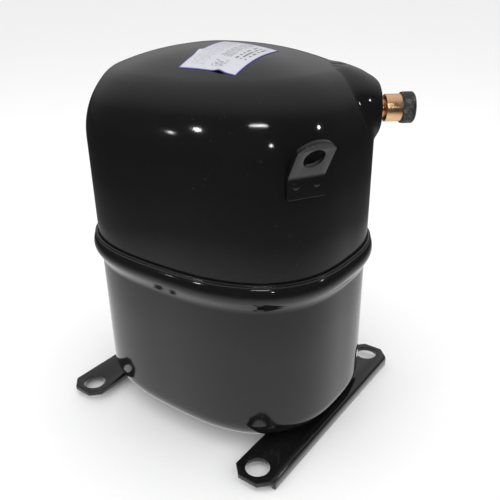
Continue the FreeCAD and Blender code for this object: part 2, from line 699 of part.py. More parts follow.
def make_crankcase():
    """Cast crankcase: round case, cylinder deck, motor flange, posts, hub and spring arms."""
    foot, top = S.case_foot, S.case_top
    flange_z = top - S.flange_thick
    solids = [
        cylinder("case_round", S.case_radius, top - foot, (0, 0, foot)),
        box("case_deck", (S.deck_x, S.deck_half_width * 2, S.deck_top - foot),
            (0, -S.deck_half_width, foot)),
        cylinder("case_flange", S.flange_radius, S.flange_thick, (0, 0, flange_z)),
        cylinder("case_hub", S.hub_radius, S.hub_top - top, (0, 0, top)),
    ]
    holes = [
        cylinder("case_cavity", S.cavity_radius, S.cavity_top - foot + 1, (0, 0, foot - 1)),
        cylinder("case_bush_hole", S.bush_radius, 60, (0, 0, top - 20)),
    ]
    for i, level in enumerate((S.lower_cylinder, S.upper_cylinder)):
        holes.append(cylinder(f"case_bore_{i}", S.bore / 2, 70, (22, 0, level), TO_X))
    reach = math.hypot(S.spring_x.value, S.spring_y.value)
    for i, (x, y) in enumerate(corners(S.spring_x, S.spring_y)):
        turn = math.degrees(math.atan2(y.value, x.value))
        arm = box(f"arm_{i}", (reach, S.arm_wide, S.arm_deep))
        arm.Placement = Placement(Vector(0, 0, 0), Rotation(Vector(0, 0, 1), turn)).multiply(
            Placement(Vector(0, -S.arm_wide.value / 2, S.arm_level.value), UPRIGHT))
        solids.append(arm)
        solids.append(cylinder(f"arm_end_{i}", S.arm_end, S.arm_deep, (x, y, S.arm_level)))
        solids.append(cylinder(f"spring_spigot_{i}", S.spigot_radius, S.upper_spigot,
                               (x, y, S.arm_level - S.upper_spigot)))
    for i, (x, y) in enumerate(post_spots()):
        solids.append(cylinder(f"post_{i}", S.post_radius, S.core_foot - top, (x, y, top)))
        holes.append(cylinder(f"post_hole_{i}", S.bolt_radius + S.running_gap, S.core_foot - top,
                              (x, y, S.core_foot - S.core_bolt_bite - 4)))
    for i, (y, z) in enumerate(head_bolt_spots()):
        holes.append(cylinder(f"deck_hole_{i}", S.bolt_radius, S.bolt_bite + 6,
                              (S.deck_x - S.bolt_bite - 2, y, z), TO_X))
    node(cut("crankcase", fused("case_blank", solids), holes), "crankcase")


def head_bolt_spots():
    side = S.head_bolt_side
    low, high = S.lower_cylinder, S.upper_cylinder
    levels = (low - S.head_bolt_rise, (low + high) / 2, high + S.head_bolt_rise)
    return [(side * way, level) for way in (-1, 1) for level in levels]


def make_bearings():
    height = S.hub_top - S.cavity_top
    bush = cylinder("bush_outer", S.bush_radius, height, (0, 0, S.cavity_top))
    bore = cylinder("bush_bore", S.shaft_radius + S.running_gap, height + 2,
                    (0, 0, S.cavity_top - 1))
    node(cut("main_bearing_bush", bush, [bore]), "main_bearing_bush")
    foot, long = S.case_foot, S.bearing_long
    disc = cylinder("bearing_disc", S.case_radius - 2, S.bearing_disc, (0, 0, foot - S.bearing_disc))
    hub = cylinder("bearing_hub", S.bearing_hub, long, (0, 0, foot + 2 - long))
    hole = cylinder("bearing_bore", S.lower_journal + S.running_gap, long * 2, (0, 0, foot - long))
    node(cut("lower_bearing_plate", fused("bearing_blank", [disc, hub]), [hole]),
         "lower_bearing_plate")


def make_suspension():
    seats = []
    springs = []
    turns_height = S.arm_level - S.spring_foot - S.spring_wire * 2
    for i, (x, y) in enumerate(corners(S.spring_x, S.spring_y)):
        base = S.floor_level + S.sheet
        disc = cylinder(f"seat_disc_{i}", S.seat_radius, S.spring_foot - base, (x, y, base))
        spigot = cylinder(f"seat_spigot_{i}", S.spigot_radius, S.lower_spigot,
                          (x, y, S.spring_foot))
        seats.append(fused(f"seat_{i}", [disc, spigot]))
        helix = doc.addObject("Part::Helix", f"helix_{i}")
        bind(helix, "Pitch", S.spring_pitch)
        bind(helix, "Height", turns_height)
        bind(helix, "Radius", S.coil_radius)
        circle = doc.addObject("Part::Circle", f"wire_{i}")
        bind(circle, "Radius", S.spring_wire)
        place(circle, (S.coil_radius, 0, 0), Rotation(Vector(1, 0, 0), 90))
        coil = doc.addObject("Part::Sweep", f"coil_{i}")
        coil.Sections = [circle]
        coil.Spine = (helix, ["Edge1"])
        coil.Solid = True
        coil.Frenet = True
        springs.append(place(coil, (x, y, S.spring_foot + S.spring_wire)))
    node(group("spring_seats", seats), "spring_seats")
    node(group("suspension_springs", springs), "suspension_springs")


def make_valve_train():
    """Gaskets, valve plate, reeds, stops, cylinder head and its bolts."""
    bolt_holes = [(y, z, S.bolt_hole) for y, z in head_bolt_spots()]
    levels = (S.lower_cylinder, S.upper_cylinder)
    half, low, high = S.deck_half_width, S.case_foot, S.deck_top
    outline = rectangle(-half, low, half, high)
    bores = [(0, level, S.bore / 2 + 0.2) for level in levels]
    start = S.deck_x
    plate("cylinder_gasket", "YZ_Plane", outline, bolt_holes + bores, S.gasket, (start, 0, 0))
    start = start + S.gasket
    ports = []
    for level in levels:
        ports.append((-S.reed_side, level + S.port_rise, S.suction_port))
        ports.append((S.reed_side, level + S.port_rise, S.discharge_port))
    thick = S.valve_plate_thick
    plate("valve_plate", "YZ_Plane", outline, bolt_holes + ports, thick, (start, 0, 0))
    make_reeds(start, start + thick)
    make_head(start + thick)


def make_reeds(inner_face, outer_face):
    """Suction reeds on the cylinder side, discharge reeds and their stops on the head side."""
    stops = []
    half = S.reed_width / 2
    for name, level in (("lower", S.lower_cylinder), ("upper", S.upper_cylinder)):
        root = level + S.reed_root
        reed = (S.reed_thick, S.reed_width, S.reed_length)
        suction = box(f"suction_{name}_leaf", reed,
                      (inner_face - S.reed_thick, -S.reed_side - half, root))
        node(suction, f"suction_reed_{name}")
        discharge = box(f"discharge_{name}_leaf", reed, (outer_face, S.reed_side - half, root))
        node(discharge, f"discharge_reed_{name}")
        side, foot = S.reed_side - S.stop_width / 2, root - S.stop_foot
        arch = box(f"stop_{name}_arch", (S.stop_thick, S.stop_width, S.reed_length + S.stop_foot),
                   (outer_face + S.stop_lift, side, foot))
        heel = box(f"stop_{name}_heel", (S.stop_lift, S.stop_width, S.stop_foot - 1),
                   (outer_face, side, foot))
        stops.append(fused(f"stop_{name}", [arch, heel]))
    node(group("discharge_valve_stops", stops), "discharge_valve_stops")


def bolt_bores(name, radius, length, start):
    """One round hole for each head bolt."""
    return [cylinder(f"{name}_{i}", radius, length, (start, y, z), TO_X)
            for i, (y, z) in enumerate(head_bolt_spots())]


def make_head(face):
    """Head gasket, the head with its two chambers, and the bolts."""
    half, low, high = S.deck_half_width, S.case_foot, S.deck_top
    rim = box("head_gasket_rim", (S.gasket, half * 2, high - low), (face, -half, low))
    windows = chamber_boxes("gasket_window", face - 1, S.gasket + 2)
    holes = bolt_bores("gasket_hole", S.bolt_hole, S.gasket + 2, face - 1)
    node(cut("head_gasket", rim, windows + holes), "head_gasket")
    head_x = face + S.gasket
    block = box("head_block", (S.head_thick, half * 2, high - low), (head_x, -half, low))
    holes = chamber_boxes("head_chamber", head_x - 1, S.head_thick + 1 - S.head_roof)
    holes += bolt_bores("head_hole", S.bolt_hole, S.head_thick + 2, head_x - 1)
    port_x, wall = head_x + S.head_port_x, high - low - S.chamber_side
    for name, radius, y in (("suction", S.intake_bore, -S.head_port_y),
                            ("discharge", S.crossover_radius - S.tube_wall, S.head_port_y)):
        holes.append(cylinder(f"head_{name}_hole", radius, wall / 4, (port_x, y, high - 10)))
    node(cut("cylinder_head", block, holes), "cylinder_head")
    bolts = []
    head_face = head_x + S.head_thick
    long = head_face - S.deck_x + S.bolt_bite
    for i, (y, z) in enumerate(head_bolt_spots()):
        shank = cylinder(f"bolt_shank_{i}", S.bolt_radius, long, (S.deck_x - S.bolt_bite, y, z), TO_X)
        cap = cylinder(f"bolt_cap_{i}", S.bolt_cap, S.bolt_cap_high, (head_face, y, z), TO_X)
        bolts.append(fused(f"bolt_{i}", [shank, cap]))
    node(group("head_bolts", bolts), "head_bolts")


def chamber_boxes(name, start, depth):
    """The suction chamber on -Y and the discharge chamber on +Y."""
    foot = S.lower_cylinder - S.head_bolt_rise
    high = S.upper_cylinder - S.lower_cylinder + S.head_bolt_rise * 2
    size = (depth, S.chamber_wide, high)
    sides = (("suction", -S.chamber_side - S.chamber_wide), ("discharge", S.chamber_side))
    return [box(f"{name}_{side}", size, (start, y, foot)) for side, y in sides]


def make_gas_pipes():
    """Suction intake, crossover to the discharge muffler, muffler and the flexible loop."""
    top = S.deck_top
    port_x = S.deck_x + S.gasket * 2 + S.valve_plate_thick + S.head_port_x
    side = S.head_port_y
    tube = cylinder("intake_outer", S.intake_radius, S.intake_long, (port_x, -side, top))
    hollow = cylinder("intake_inner", S.intake_bore, S.intake_long + 2, (port_x, -side, top - 1))
    node(cut("suction_intake_tube", tube, [hollow]), "suction_intake_tube")
    can_x, can_y, can_top = S.muffler_x, S.muffler_y, S.muffler_top
    high, wall, port = can_top - S.muffler_foot, S.muffler_wall, S.muffler_port
    can = cylinder("muffler_can", S.muffler_radius, high, (can_x, can_y, S.muffler_foot))
    inside = cylinder("muffler_inside", S.muffler_radius - wall, high - wall * 2,
                      (can_x, can_y, S.muffler_foot + wall))
    entry = cylinder("muffler_entry", S.crossover_radius - S.tube_wall, 6,
                     (can_x + port, can_y - port, can_top - 3))
    leave = cylinder("muffler_exit", S.loop_radius - S.tube_wall, 6,
                     (can_x - port, can_y + port, can_top - 3))
    node(cut("discharge_muffler", can, [inside, entry, leave]), "discharge_muffler")
    level = S.crossover_level.value
    head_end = Vector(port_x.value, side.value, top.value)
    can_end = Vector((can_x + port).value, (can_y - port).value, can_top.value)
    route = [head_end, Vector(head_end.x, head_end.y, level),
             Vector(can_end.x, can_end.y, level), can_end]
    outer = S.crossover_radius.value
    crossover = pipe_along(route, 9, outer, outer - S.tube_wall.value)
    node(fixed_shape("crossover_tube", crossover), "crossover_tube")
    make_discharge_loop(Vector((can_x - port).value, (can_y + port).value, can_top.value))


def make_discharge_loop(start):
    """The long copper tube that flexes between the floating pump and the shell."""
    normal = S.discharge_normal.value
    turn = math.radians(normal)
    outward = Vector(math.cos(turn), math.sin(turn), 0)
    stub = wall_point(normal) + Vector(0, 0, S.stub_level.value)
    elbow = stub - outward * 30
    level = S.loop_level.value
    route = [start, Vector(start.x, start.y, level), Vector(0, 66, level + S.loop_arch.value),
             Vector(-60, 54, level), elbow + Vector(0, 0, 50), elbow,
             stub - outward * (S.stub_depth.value - 0.1)]
    outer = S.loop_radius.value
    loop = pipe_along(route, 14, outer, outer - S.tube_wall.value)
    node(fixed_shape("discharge_loop", loop), "discharge_loop")


# ---------------------------------------------------------------- motor
def make_stator():
    height = S.core_top - S.core_foot
    core = cylinder("core_outer", S.stator_radius, height, (0, 0, S.core_foot))
    bore = cylinder("core_bore", S.stator_bore, height + 2, (0, 0, S.core_foot - 1))
    bolt_holes = [cylinder(f"core_hole_{i}", S.bolt_hole, height + 2, (x, y, S.core_foot - 1))
                  for i, (x, y) in enumerate(post_spots())]
    slots = slot_bars("slot", 0, 1)
    node(cut("stator_core", core, [bore] + slots + bolt_holes), "stator_core")
    bars = slot_bars("bar", S.coil_side.value, 2)
    for name, level in (("under", S.core_foot - S.winding_high - 1), ("over", S.core_top + 1)):
        ring = cylinder(f"turns_{name}", S.winding_radius, S.winding_high, (0, 0, level))
        hole = cylinder(f"turns_{name}_hole", S.winding_bore, S.winding_high + 2,
                        (0, 0, level - 1))
        bars.append(cut(f"turns_{name}_ring", ring, [hole]))
    node(fused("stator_windings", bars), "stator_windings")
    bolts = []
    bite = S.core_bolt_bite
    for i, (x, y) in enumerate(post_spots()):
        shank = cylinder(f"core_bolt_{i}", S.bolt_radius, height + bite, (x, y, S.core_foot - bite))
        cap = cylinder(f"core_bolt_cap_{i}", S.core_bolt_cap, S.bolt_cap_high, (x, y, S.core_top))
        bolts.append(fused(f"stator_bolt_{i}", [shank, cap]))
    node(group("stator_bolts", bolts), "stator_bolts")
    can = cylinder("protector_can", S.protector_radius, S.protector_high,
                   (0, S.protector_y, S.core_top + S.winding_high + 1))
    node(can, "motor_protector")


def slot_bars(name, gap, over):
    """One bar for each stator slot, thinner by a gap on each side and longer at both ends."""
    count = int(S.slot_count.value)
    height = S.core_top - S.core_foot
    bars = []
    for i in range(count):
        bar = box(f"{name}_{i}", (S.slot_long - gap * 2, S.slot_wide - gap * 2, height + over * 2))
        spot = Vector(S.slot_start.value + gap, gap - S.slot_wide.value / 2,
                      S.core_foot.value - over)
        turn = Rotation(Vector(0, 0, 1), 360 * i / count)
        bar.Placement = Placement(Vector(0, 0, 0), turn).multiply(Placement(spot, UPRIGHT))
        bars.append(bar)
    return bars


def make_lead_wires():
    plug_top = (S.terminal_level + S.plug_side / 2).value + 0.1
    start_y = (S.shell_half_y - S.terminal_deep - S.plug_deep / 2).value
    top = S.lead_level.value
    wires = []
    for i in range(3):
        x = S.lead_pitch.value * (i - 1)
        route = [Vector(x, start_y, plug_top), Vector(x, start_y, top),
                 Vector(x, S.winding_radius.value + 0.4, top)]
        wires.append(fixed_shape(f"lead_{i}", pipe_along(route, 7, S.lead_radius.value)))
    node(group("lead_wires", wires), "lead_wires")


# ---------------------------------------------------------------- rotating group
def make_crankshaft():
    """Shaft with two opposed crankpins, each thrown half the crank radius."""
    half_throw = S.stroke / 4
    half_rod = S.rod_thick / 2
    low, high = S.lower_cylinder, S.upper_cylinder
    foot, top = S.shaft_foot, S.core_top + S.shaft_end
    thrust = high + half_rod
    solids = [
        cylinder("journal_low", S.lower_journal, low - half_rod - foot, (0, 0, foot)),
        cylinder("cheek_low", S.cheek_radius, S.cheek_thick, (0, 0, low - half_rod - S.cheek_thick)),
        cylinder("pin_low", S.crankpin_radius, S.rod_thick, (half_throw, 0, low - half_rod)),
        cylinder("web", S.shaft_radius, high - low - S.rod_thick, (0, 0, low + half_rod)),
        cylinder("pin_high", S.crankpin_radius, S.rod_thick, (-half_throw, 0, high - half_rod)),
        cylinder("thrust_collar", S.collar_radius, S.collar_thick, (0, 0, thrust)),
        cylinder("shaft", S.shaft_radius, top - thrust - S.collar_thick + 1,
                 (0, 0, thrust + S.collar_thick - 1)),
    ]
    oilway = cylinder("oilway", S.oilway_radius, S.oilway_long, (0, 0, foot - 1))
    node(cut("crankshaft", fused("shaft_blank", solids), [oilway]), "crankshaft")
    long = S.pickup_long
    tube = cylinder("pickup_outer", S.pickup_radius, long, (0, 0, foot - long))
    hole = cylinder("pickup_inner", S.oilway_radius, long + 2, (0, 0, foot - long - 1))
    node(cut("oil_pickup_tube", tube, [hole]), "oil_pickup_tube")


def make_rotor():
    height = S.core_top - S.core_foot
    core = cylinder("rotor_outer", S.rotor_radius, height, (0, 0, S.core_foot))
    bore = cylinder("rotor_bore", S.shaft_radius, height + 2, (0, 0, S.core_foot - 1))
    node(cut("rotor_core", core, [bore]), "rotor_core")
    rings = []
    high = S.end_ring_high
    for name, level in (("low", S.core_foot - high), ("high", S.core_top)):
        outer = cylinder(f"end_{name}", S.end_ring_radius, high, (0, 0, level))
        inner = cylinder(f"end_{name}_hole", S.end_ring_bore, high + 2, (0, 0, level - 1))
        rings.append(cut(f"end_ring_{name}", outer, [inner]))
    node(group("rotor_end_rings", rings), "rotor_end_rings")
    level, high, radius = S.core_top + high, S.weight_high, S.weight_radius
    disc = cylinder("weight_disc", radius, high, (0, 0, level))
    hole = cylinder("weight_hole", S.weight_bore, high + 2, (0, 0, level - 1))
    spare = box("weight_spare", (radius + 2, radius * 2 + 4, high + 2), (0, -radius - 2, level - 1))
    node(cut("rotor_counterweight", disc, [hole, spare]), "rotor_counterweight")


def make_running_gear(name, level, side):
    """Eccentric ring, rod, piston, wrist pin and piston ring of one cylinder."""
    half_throw = S.stroke / 4 * side
    throw = half_throw * 2
    ring_high = S.rod_thick - 0.6
    outer = cylinder(f"ecc_{name}", S.ring_radius, ring_high, (throw, 0, level - ring_high / 2))
    inner = cylinder(f"ecc_{name}_bore", S.crankpin_radius + S.running_gap, ring_high + 2,
                     (half_throw, 0, level - ring_high / 2 - 1))
    node(cut(f"eccentric_ring_{name}", outer, [inner]), f"eccentric_ring_{name}")
    rod_high = S.rod_thick - 0.8
    wrist = throw + S.rod_length
    small_high, wide, deep = S.small_end_thick, S.shank_wide, S.shank_thick
    eyes = [
        cylinder(f"rod_{name}_big", S.big_end, rod_high, (throw, 0, level - rod_high / 2)),
        cylinder(f"rod_{name}_small", S.small_end, small_high, (wrist, 0, level - small_high / 2)),
        box(f"rod_{name}_shank", (S.rod_length, wide, deep), (throw, -wide / 2, level - deep / 2)),
    ]
    under = level - S.rod_thick
    bores = [
        cylinder(f"rod_{name}_big_bore", S.ring_radius + S.running_gap, S.rod_thick * 2,
                 (throw, 0, under)),
        cylinder(f"rod_{name}_small_bore", S.wrist_radius + S.running_gap, S.rod_thick * 2,
                 (wrist, 0, under)),
    ]
    node(cut(f"connecting_rod_{name}", fused(f"rod_{name}", eyes), bores), f"connecting_rod_{name}")
    pin = cylinder(f"wrist_{name}", S.wrist_radius, S.wrist_long, (wrist, 0, level - S.wrist_long / 2))
    node(pin, f"wrist_pin_{name}")
    make_piston(name, level, wrist)


def make_piston(name, level, wrist):
    """A cup piston with two wrist-pin bosses, a ring groove and a relief for the reed."""
    skirt, crown = S.piston_skirt, S.piston_crown
    foot = wrist - skirt
    body = cylinder(f"piston_{name}_body", S.bore / 2 - S.running_gap, skirt + crown,
                    (foot, 0, level), TO_X)
    hollow = cylinder(f"piston_{name}_hollow", S.piston_inside, skirt + S.boss_start + 4.5,
                      (foot - 1, 0, level), TO_X)
    cup = cut(f"piston_{name}_cup", body, [hollow])
    radius, long = S.piston_boss, S.boss_long
    bosses = []
    for way, start in (("low", -S.boss_start - long), ("high", S.boss_start)):
        lump = cylinder(f"boss_{name}_{way}", radius, long, (wrist, 0, level + start))
        root = box(f"boss_{name}_{way}_root", (12, radius * 2, long), (wrist, -radius, level + start))
        bosses.append(fused(f"boss_{name}_{way}_whole", [lump, root]))
    limit = cylinder(f"piston_{name}_limit", S.piston_inside + 1.5, S.rod_length, (foot, 0, level), TO_X)
    inside = doc.addObject("Part::Common", f"piston_{name}_bosses")
    inside.Base = fused(f"piston_{name}_lumps", bosses)
    inside.Tool = limit
    pin_hole = cylinder(f"piston_{name}_pin_hole", S.wrist_radius + 0.02, S.bore * 1.5,
                        (wrist, 0, level - S.bore * 0.75))
    groove_x = wrist + S.groove_start
    groove = groove_ring(f"piston_{name}_groove", groove_x, level, S.groove_width,
                         S.bore / 2 + 1, S.groove_radius)
    pocket = box(f"piston_{name}_pocket", (3, S.reed_width + 3, S.reed_length + 4),
                 (wrist + crown - S.pocket_deep, -S.reed_side - S.reed_width / 2 - 1.5,
                  level + S.reed_root - 1.5))
    whole = fused(f"piston_{name}_whole", [cup, inside])
    node(cut(f"piston_{name}", whole, [pin_hole, groove, pocket]), f"piston_{name}")
    ring = groove_ring(f"ring_{name}", groove_x + 0.05, level, S.groove_width - 0.1,
                       S.bore / 2 - 0.03, S.groove_radius + 0.1)
    node(ring, f"piston_ring_{name}")


def groove_ring(name, x, level, width, outer, inner):
    """A ring of square section around a cylinder's axis."""
    ring = cylinder(name + "_outer", outer, width, (x, 0, level), TO_X)
    hole = cylinder(name + "_inner", inner, 10, (x - 4, 0, level), TO_X)
    return cut(name, ring, [hole])


# ---------------------------------------------------------------- build and write
def build():
    make_lower_shell()
    make_upper_shell()
    make_weld_bead()
    make_rail("rail_left", -1)
    make_rail("rail_right", 1)
    make_lug("lifting_lug_front", S.lug_normal.value)
    make_lug("lifting_lug_rear", S.lug_normal.value + 180)
    boss = boss_frame()
    rear = stub_frame(S.discharge_normal.value, 0.6)
    make_stub("suction_stub", boss, S.suction_neck, S.suction_cup, S.suction_bore,
              S.suction_length)
    make_cap("suction_cap", boss, S.suction_cup, S.suction_length)
    make_stub("discharge_stub", rear, S.discharge_neck, S.discharge_cup, S.discharge_bore,
              S.discharge_length)
    make_cap("discharge_cap", rear, S.discharge_cup, S.discharge_length)
    make_process_tube()
    make_terminal()
    make_terminal_box()
    make_label()
    make_crankcase()
    make_bearings()
    make_suspension()
    make_valve_train()
    make_gas_pipes()
    make_stator()
    make_lead_wires()
    make_crankshaft()
    make_rotor()
    make_running_gear("lower", S.lower_cylinder, 1)
    make_running_gear("upper", S.upper_cylinder, -1)


def check():
    """Stop if any object failed or any sub-part is not a sound closed shape."""
    for obj in doc.Objects:
        if any(word in ("Invalid", "Error") for word in obj.State):
            raise RuntimeError(f"{obj.Label} failed: {obj.State}")
    for obj in NODES:
        shape = obj.Shape
        if shape.isNull() or not shape.isValid() or not shape.Solids:
            raise RuntimeError(f"{obj.Label} has no sound solid")


def write():
    os.makedirs("parts", exist_ok=True)
    for obj in NODES:
        obj.Shape.exportStep(f"parts/{obj.Label}.step")
        print(f"{obj.Label}: {len(obj.Shape.Solids)} solids, {obj.Shape.Volume / 1000:.2f} cm3")
    print(len(NODES), "sub-parts")


build()
doc.recompute()
check()
write()
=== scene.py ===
"""A hermetic reciprocating compressor in its studio, in metres.

The frame brings every piece of the machine. This script gives the welded shell, its
seam, rails, lugs, stubs, caps and label their finished surfaces, and every other
piece its finish. +Z is up, X runs across the two rails and Y along them.
"""
from __future__ import annotations

import json
import logging
import math
from collections.abc import Iterable
from dataclasses import dataclass
from enum import Enum

import bmesh
import bpy
from mathutils import Matrix, Vector

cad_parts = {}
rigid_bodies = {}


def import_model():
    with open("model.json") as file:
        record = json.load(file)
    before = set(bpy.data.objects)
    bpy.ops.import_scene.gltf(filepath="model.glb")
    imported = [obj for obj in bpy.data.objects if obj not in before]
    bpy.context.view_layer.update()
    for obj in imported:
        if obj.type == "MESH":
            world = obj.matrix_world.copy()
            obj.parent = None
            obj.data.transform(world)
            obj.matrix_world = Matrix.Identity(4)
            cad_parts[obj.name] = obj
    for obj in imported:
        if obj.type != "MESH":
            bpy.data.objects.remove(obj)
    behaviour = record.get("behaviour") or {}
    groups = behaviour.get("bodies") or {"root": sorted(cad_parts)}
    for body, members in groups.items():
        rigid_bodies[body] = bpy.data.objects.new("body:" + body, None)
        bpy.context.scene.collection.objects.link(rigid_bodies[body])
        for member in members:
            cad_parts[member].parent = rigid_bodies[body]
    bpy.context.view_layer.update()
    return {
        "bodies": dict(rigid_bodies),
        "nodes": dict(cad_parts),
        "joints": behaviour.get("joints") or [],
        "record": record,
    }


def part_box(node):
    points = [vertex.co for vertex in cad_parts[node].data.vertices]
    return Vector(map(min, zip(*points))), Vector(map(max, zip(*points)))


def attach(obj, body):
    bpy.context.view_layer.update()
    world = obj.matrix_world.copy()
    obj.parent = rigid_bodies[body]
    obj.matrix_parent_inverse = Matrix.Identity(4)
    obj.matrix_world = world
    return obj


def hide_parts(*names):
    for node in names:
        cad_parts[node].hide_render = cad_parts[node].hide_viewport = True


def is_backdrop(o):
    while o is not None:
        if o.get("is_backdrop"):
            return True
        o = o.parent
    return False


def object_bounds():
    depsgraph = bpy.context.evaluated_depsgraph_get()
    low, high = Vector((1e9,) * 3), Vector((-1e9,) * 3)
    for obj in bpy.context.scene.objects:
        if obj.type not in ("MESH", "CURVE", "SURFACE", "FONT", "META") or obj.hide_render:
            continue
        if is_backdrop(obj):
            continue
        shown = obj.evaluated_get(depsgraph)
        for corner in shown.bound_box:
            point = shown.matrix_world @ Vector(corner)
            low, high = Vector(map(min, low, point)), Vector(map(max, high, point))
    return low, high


LOG = logging.getLogger("compressor")
MM = 0.001
WAVE_PERIOD = 0.314  # of a wave texture at scale 1, in metres
MERGE = 1e-6  # points closer than this are one point
Colour = tuple[float, float, float]
Point = tuple[float, float, float]


# ------------------------------------------------------------------ materials
class Slot(Enum):
    """The material slots of the record."""

    PAINT = "gloss_black_paint"
    WELD = "weld_bead"
    COPPER = "copper"
    COPPER_TUBE = "copper_tube"
    RUBBER = "black_rubber"
    LABEL = "label_stock"
    GLASS = "glass"
    NICKEL = "nickel_pin"
    BLACK_PLASTIC = "black_plastic"
    GREY_PLASTIC = "grey_plastic"
    ZINC = "zinc_steel"
    SPRING = "spring_steel"
    GROUND = "ground_steel"
    IRON = "cast_iron"
    ALUMINIUM = "aluminium"
    LAMINATION = "lamination"
    WINDING = "winding"
    BRONZE = "bronze"
    GASKET = "gasket"
    LEAD = "lead_wire"


class NodeBoard:
    """A node tree with short ways to add, feed and link its nodes."""

    def __init__(self, tree: bpy.types.NodeTree) -> None:
        """Work on a tree.

        Args:
            tree: The node tree.
        """
        self.tree = tree

    def feed(self, socket: bpy.types.NodeSocket, value: object) -> None:
        """Link an output to an input, or set the input's value.

        Args:
            socket: The input socket.
            value: An output socket, or a plain value.
        """
        if isinstance(value, bpy.types.NodeSocket):
            self.tree.links.new(value, socket)
        else:
            socket.default_value = value

    def add(self, kind: str, inputs: dict[str | int, object], **props: object) -> bpy.types.Node:
        """Add a node, set its properties and feed its inputs.

        Args:
            kind: The node's type name.
            inputs: A value or an output socket for each input.
            **props: Properties set before the inputs.

        Returns:
            The new node.
        """
        node = self.tree.nodes.new(kind)
        for key, value in props.items():
            setattr(node, key, value)
        for key, value in inputs.items():
            self.feed(node.inputs[key], value)
        return node

    def math(self, operation: str, *values: object) -> bpy.types.NodeSocket:
        """Add a math node.

        Args:
            operation: The operation's name.
            *values: Its inputs in order.

        Returns:
            The result socket.
        """
        return self.add("ShaderNodeMath", dict(enumerate(values)), operation=operation).outputs[0]


class ShaderBoard(NodeBoard):
    """One material and its node tree, around a principled shader."""

    def __init__(self, name: str) -> None:
        """Start a material.

        Args:
            name: The material's name.
        """
        self.material = bpy.data.materials.new(name)
        self.material.use_nodes = True
        super().__init__(self.material.node_tree)
        self.shader = self.tree.nodes["Principled BSDF"]
        self.place = self.add("ShaderNodeTexCoord", {}).outputs["Object"]

    def set(self, **values: object) -> None:
        """Set or link inputs of the principled shader, with _ for a space in a name.

        Args:
            **values: A value or an output socket for each input.
        """
        for key, value in values.items():
            self.feed(self.shader.inputs[key.replace("_", " ")], value)

    def stretched(self, scale: Point) -> bpy.types.NodeSocket:
        """Return object coordinates scaled by a factor along each axis.

        Args:
            scale: The factor for each axis.

        Returns:
            The scaled coordinates.
        """
        return self.add("ShaderNodeMapping", {"Vector": self.place, "Scale": scale}).outputs[0]

    def grain(self, scale: float, detail: float = 3.0, vector: object = None,
              roughness: float = 0.5) -> bpy.types.NodeSocket:
        """Add a noise texture.

        Args:
            scale: Cells per metre.
            detail: Octaves.
            vector: Coordinates, or None for object coordinates.
            roughness: The share of the finer octaves.

        Returns:
            The noise value socket.
        """
        inputs = {"Vector": vector or self.place, "Scale": scale, "Detail": detail,
                  "Roughness": roughness}
        return self.add("ShaderNodeTexNoise", inputs).outputs["Fac"]

    def spread(self, value: object, low: float, high: float, start: float = 0.0,
               end: float = 1.0) -> bpy.types.NodeSocket:
        """Map a value from a start-to-end range onto low to high, clamped.

        Args:
            value: The value socket.
            low: Result at start.
            high: Result at end.
            start: Low end of the input.
            end: High end of the input.

        Returns:
            The mapped value.
        """
        inputs = {"Value": value, "From Min": start, "From Max": end, "To Min": low, "To Max": high}
        return self.add("ShaderNodeMapRange", inputs).outputs[0]

    def blend(self, share: object, first: object, second: object) -> bpy.types.NodeSocket:
        """Mix two colours.

        Args:
            share: 0 gives the first colour and 1 the second.
            first: A colour or a socket.
            second: A colour or a socket.

        Returns:
            The mixed colour.
        """
        ends = [(*end, 1.0) if isinstance(end, tuple) else end for end in (first, second)]
        inputs = {0: share, 6: ends[0], 7: ends[1]}
        return self.add("ShaderNodeMix", inputs, data_type="RGBA").outputs[2]

    def relief(self, height: object, distance: float, strength: float = 1.0) -> None:
        """Bump the surface.

        Args:
            height: The height socket.
            distance: Height of the relief in metres.
            strength: Share of the relief that is used.
        """
        inputs = {"Height": height, "Distance": distance, "Strength": strength}
        bump = self.add("ShaderNodeBump", inputs)
        self.set(Normal=bump.outputs["Normal"])


def lighter(colour: Colour, factor: float) -> Colour:
    """Return a colour multiplied by a factor, at most white.

    Args:
        colour: The colour.
        factor: The factor.

    Returns:
        The new colour.
    """
    return tuple(min(1.0, part * factor) for part in colour)


@dataclass(frozen=True)
class Enamel:
    """Baked gloss enamel over steel, with a faint orange peel and handling dust."""

    colour: Colour = (0.0042, 0.0042, 0.0045)
    roughness: float = 0.07
    peel: float = 0.000012
    cloud_scale: float = 14.0
    dust_scale: float = 420.0
    dust_limits: tuple[float, float] = (0.66, 0.72)
    dust_light: float = 7.0
    dust_haze: float = 0.12
    swell_scale: float = 150.0
    peel_scale: float = 640.0

    def material(self, name: str) -> bpy.types.Material:
        """Build the material.

        Args:
            name: Its name.

        Returns:
            The material.
        """
        board = ShaderBoard(name)
        cloud = board.grain(self.cloud_scale, 5.0)
        dust = board.grain(self.dust_scale, 4.0, roughness=0.7)
        specks = board.spread(dust, 0.0, 1.0, *self.dust_limits)
        tint = board.blend(cloud, self.colour, lighter(self.colour, 1.8))
        board.set(Base_Color=board.blend(specks, tint, lighter(self.colour, self.dust_light)))
        haze = board.spread(cloud, self.roughness * 0.7, self.roughness * 1.7, 0.3, 0.7)
        dull = board.math("MULTIPLY", specks, self.dust_haze)
        board.set(Roughness=board.math("ADD", haze, dull), IOR=1.5)
        swell = board.grain(self.swell_scale, 2.0)
        peel = board.grain(self.peel_scale, 2.0)
        board.relief(board.math("ADD", board.math("MULTIPLY", swell, 2.0), peel), self.peel)
        return board.material


